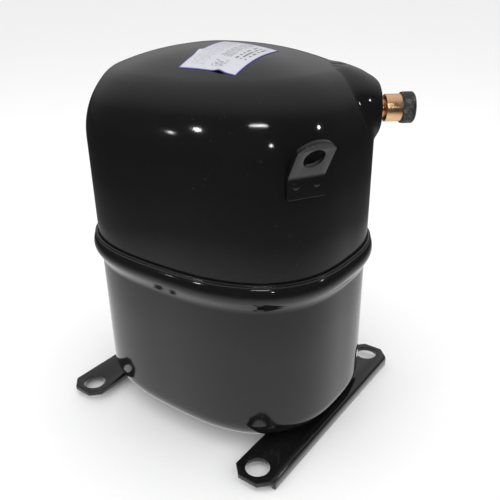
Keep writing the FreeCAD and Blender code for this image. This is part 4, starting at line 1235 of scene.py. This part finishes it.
@dataclass
class Casing:
    """The two pressings of the shell, the weld between them and its spatter.

    The collar's foot and crest are measured down from the seam.
    """

    plan: ShellPlan
    boss: Boss
    paints: Paintbox
    draft: float = 1.0 * MM
    corner: float = 22.0 * MM
    collar: float = 4.5 * MM
    collar_foot: float = 24.0 * MM
    collar_crest: float = 9.0 * MM
    collar_round: float = 3.6 * MM
    lap_gap: float = 0.05 * MM
    lap_top: float = 0.1 * MM
    lap_end: float = 0.5 * MM
    step_end: float = 7.0 * MM
    upper_facets: int = 480
    lower_facets: int = 400
    bunching: float = 0.5
    bunching_turn: float = 8.0
    bead_out: float = 1.25 * MM
    bead_rise: float = 0.35 * MM
    bead_radius: float = 1.7 * MM
    ripples: int = 300
    ripple: float = 0.2
    drift: float = 0.75
    drift_scale: float = 90.0
    drops: int = 170
    drop_radius: float = 0.75 * MM
    stray: float = 1.5 * MM
    seed: int = 7

    def __post_init__(self) -> None:
        """Read the levels of the frame's two shells."""
        low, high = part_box("lower_shell")
        self.floor, self.seam = low.z, high.z
        self.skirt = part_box("upper_shell")[0].z
        self.tree = pressing_tree()

    def pressing(self, name: str, section: list[Point], around: int,
                 dense: float) -> bpy.types.Object:
        """Carry a closed section around the plan.

        Args:
            name: The piece's name.
            section: Points (inset, ratio, level), from pole to pole.
            around: Facets around.
            dense: How much closer the facets lie on the boss's side.

        Returns:
            The piece.
        """
        mesh = bpy.data.meshes.new(name + "_section")
        mesh.from_pydata(section, [], [])
        holder = new_piece(name + "_section", mesh)
        piece = grow(name, self.tree, {
            "Section": holder, "Around": around, "Half X": self.plan.half_x,
            "Half Y": self.plan.half_y, "Power": self.plan.power, "Dense": dense,
            "Toward": math.radians(self.boss.direction - self.bunching_turn),
            "Finish": self.paints.materials[Slot.PAINT]})
        bpy.data.objects.remove(holder)
        shape = bmesh.new()
        shape.from_mesh(piece.data)
        bmesh.ops.recalc_face_normals(shape, faces=shape.faces)
        shape.to_mesh(piece.data)
        shape.free()
        return piece

    def upper(self) -> bpy.types.Object:
        """Make the dome with its boss, two walls thick."""
        outer = self.plan.dome(0.0, self.skirt, True)
        inner = self.plan.dome(self.plan.sheet, self.skirt, False)
        piece = self.pressing("upper_shell_pressing", outer + inner[::-1], self.upper_facets,
                              self.bunching)
        self.boss.push(piece)
        return piece

    def lower_section(self) -> list[Point]:
        """Return the lower pressing's section: floor, wall, flared collar, and back inside."""
        floor, corner, sheet = self.floor, self.corner, self.plan.sheet
        inset, rise = self.draft, self.collar
        foot, crest = self.seam - self.collar_foot, self.seam - self.collar_crest
        points = [(inset + corner, 0.1 * i, floor) for i in range(11)]
        for i in range(1, 19):
            turn = math.radians(5.0 * i)
            points.append((inset + corner * (1 - math.sin(turn)), 1.0,
                           floor + corner * (1 - math.cos(turn))))
        start = floor + corner
        points += [(inset, 1.0, start + (foot - start) * i / 6) for i in range(1, 6)]
        for i in range(25):
            share = i / 24
            swell = (1 - math.cos(math.pi * share)) / 2
            points.append((inset - (rise + inset) * swell, 1.0, foot + (crest - foot) * share))
        for i in range(1, 15):
            turn = math.radians(90.0 * i / 14)
            points.append((-rise + self.collar_round * (1 - math.cos(turn)), 1.0,
                           crest + (self.seam - crest) * math.sin(turn)))
        points.append((self.lap_gap, 1.0, self.seam - self.lap_top))
        points.append((self.lap_gap, 1.0, self.skirt - self.lap_end))
        points.append((inset + sheet, 1.0, self.skirt - self.step_end))
        small = corner - sheet
        for i in range(9):
            turn = math.radians(90.0 - 11.25 * i)
            points.append((inset + sheet + small * (1 - math.sin(turn)), 1.0,
                           floor + sheet + small * (1 - math.cos(turn))))
        points += [(inset + corner, 1.0 - 0.2 * i, floor + sheet) for i in range(1, 6)]
        return points

    def seam_line(self, out: float, rise: float) -> bpy.types.Object:
        """Make a closed line around the seam for the weld trees.

        Args:
            out: Distance outside the plan.
            rise: Height above the seam.

        Returns:
            A holder with the line, to be removed after use.
        """
        count = 720
        points = [(*self.plan.point(math.tau * i / count, -out), self.seam + rise)
                  for i in range(count)]
        mesh = bpy.data.meshes.new("seam_line")
        mesh.from_pydata(points, [(i, (i + 1) % count) for i in range(count)], [])
        return new_piece("seam_line", mesh)

    def build(self) -> None:
        """Make every piece of the casing and let it stand for its node."""
        upper = self.upper()
        keep(upper, "shell", Slot.PAINT, "upper_shell")
        lower = self.pressing("lower_shell_pressing", self.lower_section(), self.lower_facets, 0.0)
        keep(lower, "shell", Slot.PAINT, "lower_shell")
        line = self.seam_line(self.bead_out, self.bead_rise)
        bead = grow("weld_bead_ripples", bead_tree(), {
            "Line": line, "Ripples": self.ripples, "Radius": self.bead_radius,
            "Ripple": self.ripple, "Drift": self.drift, "Drift Scale": self.drift_scale,
            "Finish": self.paints.materials[Slot.WELD]})
        keep(bead, "shell", Slot.WELD, "shell_weld_bead")
        drops = grow("weld_spatter", spatter_tree(), {
            "Line": line, "Drops": self.drops, "Seed": self.seed,
            "Radius": self.drop_radius, "Stray": self.stray,
            "Finish": self.paints.materials[Slot.WELD]})
        keep(drops, "shell", Slot.WELD)
        bpy.data.objects.remove(line)


def keep(piece: bpy.types.Object, body: str, slot: Slot, *nodes: str) -> None:
    """Parent a finished piece to the body it rides on, and hide the frame nodes it stands for.

    Args:
        piece: The finished piece.
        body: The body it moves with.
        slot: Its material slot; not used.
        *nodes: The frame nodes it stands for.
    """
    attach(piece, body)
    if nodes:
        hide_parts(*nodes)
    LOG.info("%s rides on %s: %d faces", piece.name, body, len(piece.data.polygons))


# ------------------------------------------------------------------ rails and lugs
@dataclass
class Rails:
    """The two mounting rails, with their edges rounded."""

    edge: float = 0.45 * MM
    sides: tuple[str, str] = ("left", "right")

    def build(self, nodes: dict[str, bpy.types.Object], paints: Paintbox) -> None:
        """Make both rails.

        Args:
            nodes: The frame's nodes.
            paints: The finishes.
        """
        for side in self.sides:
            rail = softened(f"mounting_rail_{side}", nodes[f"rail_{side}"], self.edge)
            paints.dress(rail, Slot.PAINT)
            keep(rail, "shell", Slot.PAINT, f"rail_{side}")


@dataclass
class LiftingLug:
    """A strap welded to the dome by its foot, with an eye in its leaning upper end."""

    name: str
    node: str
    normal: float
    width: float = 28.6 * MM
    thick: float = 3.0 * MM
    foot: float = 16.3 * MM
    length: float = 32.0 * MM
    arch: float = 18.1 * MM
    eye_height: float = 17.7 * MM
    eye_radius: float = 7.7 * MM
    lean: float = 32.0
    bend_level: float = 233.3 * MM
    bend_run: float = 2.6 * MM
    mark_side: float = 8.0 * MM
    mark_drop: float = 6.5 * MM
    mark_radius: float = 2.7 * MM
    mark_swell: float = 0.28
    corner: float = 1.2 * MM
    edge: float = 0.35 * MM
    sunk: float = 0.2 * MM
    bend_steps: int = 8

    def outline(self) -> list[tuple[float, float]]:
        """Return the flat strap's outline, with the bend line at y = 0."""
        half = self.width / 2
        middle = self.length - self.arch
        start = math.acos(half / self.arch)
        corner = self.corner
        points = []
        for side, first in ((-1, 180.0), (1, 270.0)):
            for i in range(5):
                turn = math.radians(first + 22.5 * i)
                points.append((side * (half - corner) + corner * math.cos(turn),
                               corner - self.foot + corner * math.sin(turn)))
        for i in range(25):
            turn = start + (math.pi - 2 * start) * i / 24
            points.append((self.arch * math.cos(turn), middle + self.arch * math.sin(turn)))
        return points

    def weld_marks(self, strap: bpy.types.Object) -> None:
        """Raise the two projection-weld marks on the strap's foot.

        Args:
            strap: The flat strap.
        """
        shape = bmesh.new()
        shape.from_mesh(strap.data)
        for side in (-1, 1):
            spot = Matrix.Translation((side * self.mark_side, -self.mark_drop, self.thick))
            swell = Matrix.Diagonal((1.0, 1.0, self.mark_swell, 1.0))
            bmesh.ops.create_uvsphere(shape, u_segments=32, v_segments=16,
                                      radius=self.mark_radius, matrix=spot @ swell)
        shape.to_mesh(strap.data)
        shape.free()

    def bend(self, strap: bpy.types.Object, plan: ShellPlan) -> None:
        """Bend the strap at y = 0 and put it on the wall.

        Args:
            strap: The flat strap.
            plan: The shell's plan.
        """
        shape = bmesh.new()
        shape.from_mesh(strap.data)
        for i in range(self.bend_steps + 1):
            level = self.bend_run * (i / self.bend_steps * 2 - 1)
            parts = shape.verts[:] + shape.edges[:] + shape.faces[:]
            bmesh.ops.bisect_plane(shape, geom=parts, plane_co=(0.0, level, 0.0),
                                   plane_no=(0.0, 1.0, 0.0), dist=1e-7)
        lean = math.radians(self.lean)
        span = 2 * self.bend_run
        for vertex in shape.verts:
            x, y, z = vertex.co
            run = min(max(y + self.bend_run, 0.0), span)
            turn = lean * run / span
            radius = span / lean
            rest = max(y - self.bend_run, 0.0)
            start = min(y, -self.bend_run)
            along = start + radius * math.sin(turn) + rest * math.cos(turn) - z * math.sin(turn)
            out = radius * (1 - math.cos(turn)) + rest * math.sin(turn) + z * math.cos(turn)
            vertex.co = (x, along, out)
        for face in shape.faces:
            face.smooth = True
        shape.to_mesh(strap.data)
        shape.free()
        strap.data.transform(plan.wall_frame(self.normal, self.bend_level, -self.sunk))

    def build(self, plan: ShellPlan, paints: Paintbox) -> None:
        """Make the lug.

        Args:
            plan: The shell's plan.
            paints: The finishes.
        """
        mesh = flat_plate(self.name, self.outline(), [(0.0, self.eye_height, self.eye_radius)],
                          self.thick, self.edge)
        shape = bmesh.new()
        shape.from_mesh(mesh)
        bmesh.ops.remove_doubles(shape, verts=shape.verts, dist=MERGE)
        bmesh.ops.recalc_face_normals(shape, faces=shape.faces)
        strap = from_bmesh(self.name, shape)
        self.weld_marks(strap)
        self.bend(strap, plan)
        smooth_by_angle(strap)
        paints.dress(strap, Slot.PAINT)
        keep(strap, "shell", Slot.PAINT, self.node)


def smooth_by_angle(piece: bpy.types.Object, angle: float = 30.0) -> None:
    """Shade a piece smooth except over its sharp edges.

    Args:
        piece: The piece.
        angle: Edges sharper than this many degrees stay sharp.
    """
    piece.data.shade_smooth()
    piece.data.set_sharp_from_angle(angle=math.radians(angle))


# ------------------------------------------------------------------ stubs and caps
@dataclass
class Stub:
    """A plated steel stub: neck, bead, step and cup, with its rubber cap.

    The neck's profile is rows of (distance beyond the neck's radius, length,
    rounding) in millimetres.
    """

    title: str
    frame: Matrix
    neck: float
    cup: float
    bore: float
    length: float
    wall: float = 1.8 * MM
    root: float = 14.0 * MM
    neck_profile: tuple[Point, ...] = (
        (0.0, -14.0, 0.3), (0.0, -0.6, 0.4), (1.5, 0.05, 0.3), (0.2, 1.0, 0.25), (0.9, 1.2, 0.3),
        (0.9, 2.5, 0.3), (0.0, 2.8, 0.15), (0.0, 3.7, 0.15), (0.5, 3.8, 0.1))
    step: float = 5.2 * MM
    socket_floor: float = 8.0 * MM
    cap_wall: float = 1.55 * MM
    cap_top: float = 3.7 * MM
    cap_grip: float = 6.3 * MM
    cap_gap: float = 0.05 * MM
    cap_lip: float = 1.8 * MM
    cap_taper: float = 0.3 * MM
    cap_chamfer: float = 1.2 * MM
    cap_rim: float = 2.2 * MM
    cap_dish: float = 0.7 * MM

    def tube(self) -> list[tuple[float, float]]:
        """Return the stub's section as (radius, length) corners with rounded edges."""
        inner, rim = self.neck - self.wall, self.length
        corners = [(inner, -self.root, 0.2 * MM)]
        corners += [(self.neck + beyond * MM, level * MM, edge * MM)
                    for beyond, level, edge in self.neck_profile]
        corners += [(self.cup, self.step, 0.5 * MM), (self.cup, rim, 0.35 * MM),
                    (self.bore, rim, 0.3 * MM), (self.bore, self.socket_floor, 0.3 * MM),
                    (inner, self.socket_floor, 0.2 * MM)]
        return rounded(corners, 3)

    def cap_section(self) -> list[tuple[float, float]]:
        """Return the cap's section as (radius, length) corners with rounded edges."""
        wide, hollow = self.cup + self.cap_wall, self.cup + self.cap_gap
        top, foot = self.length + self.cap_top, self.length - self.cap_grip
        inside, shoulder = self.length + self.cap_gap, wide - self.cap_chamfer
        rim, dish = shoulder - self.cap_rim, top - self.cap_dish
        corners = [
            (0.0, inside, 0.0), (hollow, inside, 0.2), (hollow, foot, 0.3),
            (wide - self.cap_taper, foot, 0.5), (wide, foot + self.cap_lip, 0.5),
            (wide, top - self.cap_chamfer, 0.8), (shoulder, top, 0.6), (rim, top, 0.4),
            (rim - 0.5 * MM, dish, 0.3), (0.0, dish, 0.0)]
        return rounded([(radius, level, edge * MM) for radius, level, edge in corners], 4)

    def build(self, paints: Paintbox) -> None:
        """Make the stub and its cap.

        Args:
            paints: The finishes.
        """
        tube = lathe(f"{self.title}_line_stub", self.tube(), self.frame)
        smooth_by_angle(tube)
        paints.dress(tube, Slot.COPPER)
        keep(tube, "shell", Slot.COPPER, f"{self.title}_stub")
        cap = lathe(f"{self.title}_rubber_cap", self.cap_section(), self.frame)
        smooth_by_angle(cap)
        paints.dress(cap, Slot.RUBBER)
        keep(cap, f"{self.title}_cap", Slot.RUBBER, f"{self.title}_cap")


@dataclass
class LineStubs:
    """The suction stub on the boss and the discharge stub on the far wall.

    The sizes of each are its neck's, cup's and bore's radius and its length.
    """

    suction: tuple[float, ...] = (6.6 * MM, 10.55 * MM, 9.55 * MM, 24.0 * MM)
    discharge: tuple[float, ...] = (5.0 * MM, 7.4 * MM, 6.4 * MM, 26.0 * MM)
    discharge_normal: float = 165.0
    discharge_level: float = 190.0 * MM
    discharge_proud: float = 0.6 * MM

    def build(self, plan: ShellPlan, boss: Boss, paints: Paintbox) -> None:
        """Make both stubs with their caps.

        Args:
            plan: The shell's plan.
            boss: The suction boss.
            paints: The finishes.
        """
        rear = plan.wall_frame(self.discharge_normal, self.discharge_level, self.discharge_proud)
        Stub("suction", boss.frame(), *self.suction).build(paints)
        Stub("discharge", rear, *self.discharge).build(paints)


# ------------------------------------------------------------------ label
@dataclass
class Label:
    """The adhesive label on the crown, with two lifted wrinkles at its near edges.

    A wrinkle is its height, its place across and spread, then its place down and spread.
    """

    length: float = 49.0 * MM
    width: float = 57.0 * MM
    x: float = 26.4 * MM
    y: float = -28.5 * MM
    turn: float = 3.0
    lift: float = 0.12 * MM
    thick: float = 0.15 * MM
    steps: int = 60
    wrinkles: tuple[tuple[float, ...], ...] = (
        (1.5 * MM, 0.0, 0.16, 0.42, 0.075), (1.3 * MM, 0.72, 0.08, 0.0, 0.15))

    def wrinkle(self, across: float, down: float) -> float:
        """Return how far the film stands off the crown.

        Args:
            across: Place along X, 0 to 1.
            down: Place along Y, 0 to 1.

        Returns:
            The extra height.
        """
        return sum(height * math.exp(-((across - x) / wide) ** 2 - ((down - y) / deep) ** 2)
                   for height, x, wide, y, deep in self.wrinkles)

    def build(self, plan: ShellPlan, paints: Paintbox) -> None:
        """Make the label.

        Args:
            plan: The shell's plan.
            paints: The finishes.
        """
        shape = bmesh.new()
        layer = shape.loops.layers.uv.new("print")
        turn = Matrix.Rotation(math.radians(self.turn), 2)
        grid = []
        for i in range(self.steps + 1):
            row = []
            for j in range(self.steps + 1):
                across, down = i / self.steps, j / self.steps
                arm = turn @ Vector(((across - 0.5) * self.length, (down - 0.5) * self.width))
                x, y = self.x + arm.x, self.y + arm.y
                level = plan.crown(x, y) + self.lift + self.wrinkle(across, down)
                row.append((shape.verts.new((x, y, level)), across, down))
            grid.append(row)
        for i in range(self.steps):
            for j in range(self.steps):
                corner = (grid[i][j], grid[i + 1][j], grid[i + 1][j + 1], grid[i][j + 1])
                face = shape.faces.new([item[0] for item in corner])
                for loop, item in zip(face.loops, corner):
                    loop[layer].uv = (item[2], 1.0 - item[1])
        film = from_bmesh("rating_label_film", shape)
        solid = film.modifiers.new("film", "SOLIDIFY")
        solid.thickness = self.thick
        solid.offset = 1.0
        baked(film)
        paints.dress(film, Slot.LABEL)
        keep(film, "shell", Slot.LABEL, "label")


# ------------------------------------------------------------------ terminal and the rest
@dataclass
class RearFittings:
    """The terminal box with its cover, and the process tube, with their edges rounded."""

    fence_edge: float = 0.5 * MM
    lid_edge: float = 0.6 * MM
    tube_edge: float = 0.3 * MM
    crease: float = 40.0

    def build(self, nodes: dict[str, bpy.types.Object], paints: Paintbox) -> None:
        """Round the edges of the pressed and moulded pieces.

        Args:
            nodes: The frame's nodes.
            paints: The finishes.
        """
        for name, node, body, slot, edge in (
                ("terminal_fence", "terminal_box", "shell", Slot.PAINT, self.fence_edge),
                ("terminal_lid", "terminal_cover", "terminal_cover", Slot.BLACK_PLASTIC,
                 self.lid_edge),
                ("process_stub", "process_tube", "shell", Slot.COPPER_TUBE, self.tube_edge)):
            piece = softened(name, nodes[node], edge)
            smooth_by_angle(piece, self.crease)
            paints.dress(piece, slot)
            keep(piece, body, slot, node)


def dress_frame(frame: dict, paints: Paintbox) -> None:
    """Give every frame node the finish that the record names for it.

    Args:
        frame: The loaded frame.
        paints: The finishes.
    """
    for row in frame["record"]["subparts"]:
        node = frame["nodes"][row["node"]]
        slot = Slot(row["material_slot"])
        node.data.materials.clear()
        node.data.materials.append(paints.materials[slot])
        LOG.info("%s is finished as %s", row["node"], slot.value)


# ------------------------------------------------------------------ studio
@dataclass
class Camera:
    """The view of the portrait."""

    lens: float = 43.294
    spot: Point = (0.3048, -0.3850, 0.35504)
    azimuth: float = 36.378
    pitch: float = 24.621
    roll: float = -0.936
    sensor: float = 36.0
    near: float = 0.01
    far: float = 100.0

    def build(self) -> None:
        """Make the camera and set it as the scene's."""
        azimuth, pitch = math.radians(self.azimuth), math.radians(self.pitch)
        back = Vector((math.sin(azimuth) * math.cos(pitch), -math.cos(azimuth) * math.cos(pitch),
                       math.sin(pitch)))
        across = Vector((math.cos(azimuth), math.sin(azimuth), 0.0))
        up = back.cross(across)
        turn = Matrix((across, up, back)).transposed() @ Matrix.Rotation(
            math.radians(self.roll), 3, "Z")
        data = bpy.data.cameras.new("portrait")
        data.lens = self.lens
        data.sensor_width = self.sensor
        data.clip_start, data.clip_end = self.near, self.far
        camera = bpy.data.objects.new("portrait", data)
        camera.matrix_world = Matrix.Translation(self.spot) @ turn.to_4x4()
        bpy.context.scene.collection.objects.link(camera)
        bpy.context.scene.camera = camera


@dataclass
class Lamp:
    """A small lamp that glints in the enamel, aimed from around the machine's centre."""

    azimuth: float
    height: float
    width: float
    drop: float
    power: float
    distance: float = 2.5
    centre: float = 0.25

    def spot(self) -> Point:
        """Return the lamp's place."""
        turn, rise = math.radians(self.azimuth), math.radians(self.height)
        return (self.distance * math.cos(rise) * math.cos(turn),
                self.distance * math.cos(rise) * math.sin(turn),
                self.centre + self.distance * math.sin(rise))


@dataclass
class Studio:
    """A white table that shows a painted glow in reflections, in a dim room with a pale ceiling,
    and a few small lamps.
    """

    floor_size: float = 60.0
    daylight: float = 1.06
    aim: Point = (0.0, 0.0, 0.2)
    overhead: Point = (0.1, -0.2, 1.7)
    overhead_side: float = 2.2
    overhead_power: float = 6.0
    ceiling_side: float = 127.0
    ceiling_height: float = 65.0
    ceiling: tuple[tuple[float, float], ...] = (
        (0.0, 0.04), (0.25, 0.05), (0.36, 0.08), (0.52, 0.30), (0.72, 0.55), (1.0, 0.70))
    # Brightness of the floor's painted reflection glow, by distance from the centre
    table: tuple[tuple[float, float], ...] = (
        (0.0, 0.95), (0.24, 0.90), (0.38, 0.55), (0.52, 0.14), (0.75, 0.05), (1.0, 0.03))
    lamps: tuple[Lamp, ...] = (
        Lamp(-126.0, 13.0, 0.12, 0.08, 0.7), Lamp(-112.0, 22.0, 0.22, 0.12, 3.5),
        Lamp(-55.0, 37.0, 0.85, 0.13, 7.0), Lamp(24.0, 18.0, 0.12, 0.12, 2.0),
        Lamp(-42.0, 14.0, 0.14, 0.12, 1.8))

    def tones(self, ramp: bpy.types.Node, stops: tuple[tuple[float, float], ...]) -> None:
        """Fill a colour ramp with greys.

        Args:
            ramp: The ramp node.
            stops: Position and brightness of each stop, from 0 to 1.
        """
        elements = ramp.color_ramp.elements
        while len(elements) < len(stops):
            elements.new(0.5)
        for element, (position, value) in zip(elements, stops):
            element.position = position
            element.color = (value, value, value, 1.0)

    def world(self) -> None:
        """Light the room evenly, and show a dim room with a pale ceiling in reflections."""
        world = bpy.data.worlds.new("room")
        bpy.context.scene.world = world
        world.use_nodes = True
        room = NodeBoard(world.node_tree)
        turn, rise = math.radians(self.ceiling_side), math.radians(self.ceiling_height)
        away = (math.cos(rise) * math.cos(turn), math.cos(rise) * math.sin(turn), math.sin(rise))
        place = room.add("ShaderNodeTexCoord", {}).outputs["Generated"]
        toward = room.add("ShaderNodeVectorMath", {0: place, 1: away}, operation="DOT_PRODUCT")
        ramp = room.add("ShaderNodeValToRGB", {"Fac": toward.outputs["Value"]})
        self.tones(ramp, self.ceiling)
        mirrored = room.add("ShaderNodeBackground", {"Color": ramp.outputs["Color"]})
        plain = room.tree.nodes["Background"]
        room.feed(plain.inputs["Color"], (1.0, 1.0, 1.0, 1.0))
        room.feed(plain.inputs["Strength"], self.daylight)
        seen = room.add("ShaderNodeLightPath", {})
        choice = room.add("ShaderNodeMixShader", {
            0: seen.outputs["Is Glossy Ray"], 1: plain.outputs[0], 2: mirrored.outputs[0]})
        room.feed(room.tree.nodes["World Output"].inputs["Surface"], choice.outputs[0])

    def floor_finish(self) -> bpy.types.Material:
        """Return the white table's material: plain white to the camera and to light, and a painted
        glow to reflected rays that fades with distance from the centre.
        """
        board = ShaderBoard("white_table_painted_glow")
        tone = board.blend(board.grain(6.0, 2.0), (0.90, 0.90, 0.90), (0.92, 0.92, 0.92))
        board.set(Base_Color=tone, Roughness=0.6)
        flat = board.add("ShaderNodeVectorMath", {0: board.place}, operation="LENGTH")
        ramp = board.add("ShaderNodeValToRGB", {"Fac": flat.outputs["Value"]})
        self.tones(ramp, self.table)
        # Painted reflection: the floor glows by this ramp, to reflected rays only
        painted_reflection_glow = board.add("ShaderNodeEmission", {"Color": ramp.outputs["Color"]})
        seen = board.add("ShaderNodeLightPath", {})
        choice = board.add("ShaderNodeMixShader", {
            0: seen.outputs["Is Glossy Ray"], 1: board.shader.outputs[0], 2: painted_reflection_glow.outputs[0]})
        board.feed(board.tree.nodes["Material Output"].inputs["Surface"], choice.outputs[0])
        return board.material

    def lamp(self, name: str, spot: Point, sides: tuple[float, float], power: float,
             shown: bool) -> None:
        """Add an oval lamp aimed at the machine.

        Args:
            name: Its name.
            spot: Its place.
            sides: Its width and height.
            power: Its power in watts.
            shown: Let it show in reflections.
        """
        data = bpy.data.lights.new(name, "AREA")
        data.shape = "ELLIPSE"
        data.size, data.size_y = sides
        data.energy = power
        lamp = bpy.data.objects.new(name, data)
        aim = (Vector(self.aim) - Vector(spot)).to_track_quat("-Z", "Y")
        lamp.matrix_world = Matrix.Translation(spot) @ aim.to_matrix().to_4x4()
        lamp.visible_glossy = shown
        lamp.visible_camera = False
        bpy.context.scene.collection.objects.link(lamp)

    def build(self) -> None:
        """Make the floor, the room and the lamps."""
        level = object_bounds()[0][2]
        shape = bmesh.new()
        bmesh.ops.create_grid(shape, x_segments=2, y_segments=2, size=self.floor_size / 2,
                              matrix=Matrix.Translation((0.0, 0.0, level)))
        floor = from_bmesh("floor", shape)
        floor.data.materials.append(self.floor_finish())
        floor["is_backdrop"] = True
        self.world()
        sides = (self.overhead_side, self.overhead_side)
        self.lamp("overhead", self.overhead, sides, self.overhead_power, False)
        for number, lamp in enumerate(self.lamps):
            sides = (lamp.width, lamp.drop)
            self.lamp(f"glint_{number}", lamp.spot(), sides, lamp.power, True)


def main() -> None:
    """Build the compressor and its studio."""
    logging.basicConfig(level=logging.INFO)
    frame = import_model()
    paints = Paintbox()
    plan, boss = ShellPlan(), Boss()
    dress_frame(frame, paints)
    Casing(plan, boss, paints).build()
    Rails().build(frame["nodes"], paints)
    LiftingLug("lifting_lug_strap_front", "lifting_lug_front", -29.0).build(plan, paints)
    LiftingLug("lifting_lug_strap_rear", "lifting_lug_rear", 151.0).build(plan, paints)
    LineStubs().build(plan, boss, paints)
    Label().build(plan, paints)
    RearFittings().build(frame["nodes"], paints)
    Camera().build()
    Studio().build()
    bpy.context.scene.view_settings.view_transform = "Standard"


if __name__ == "__main__":
    main()
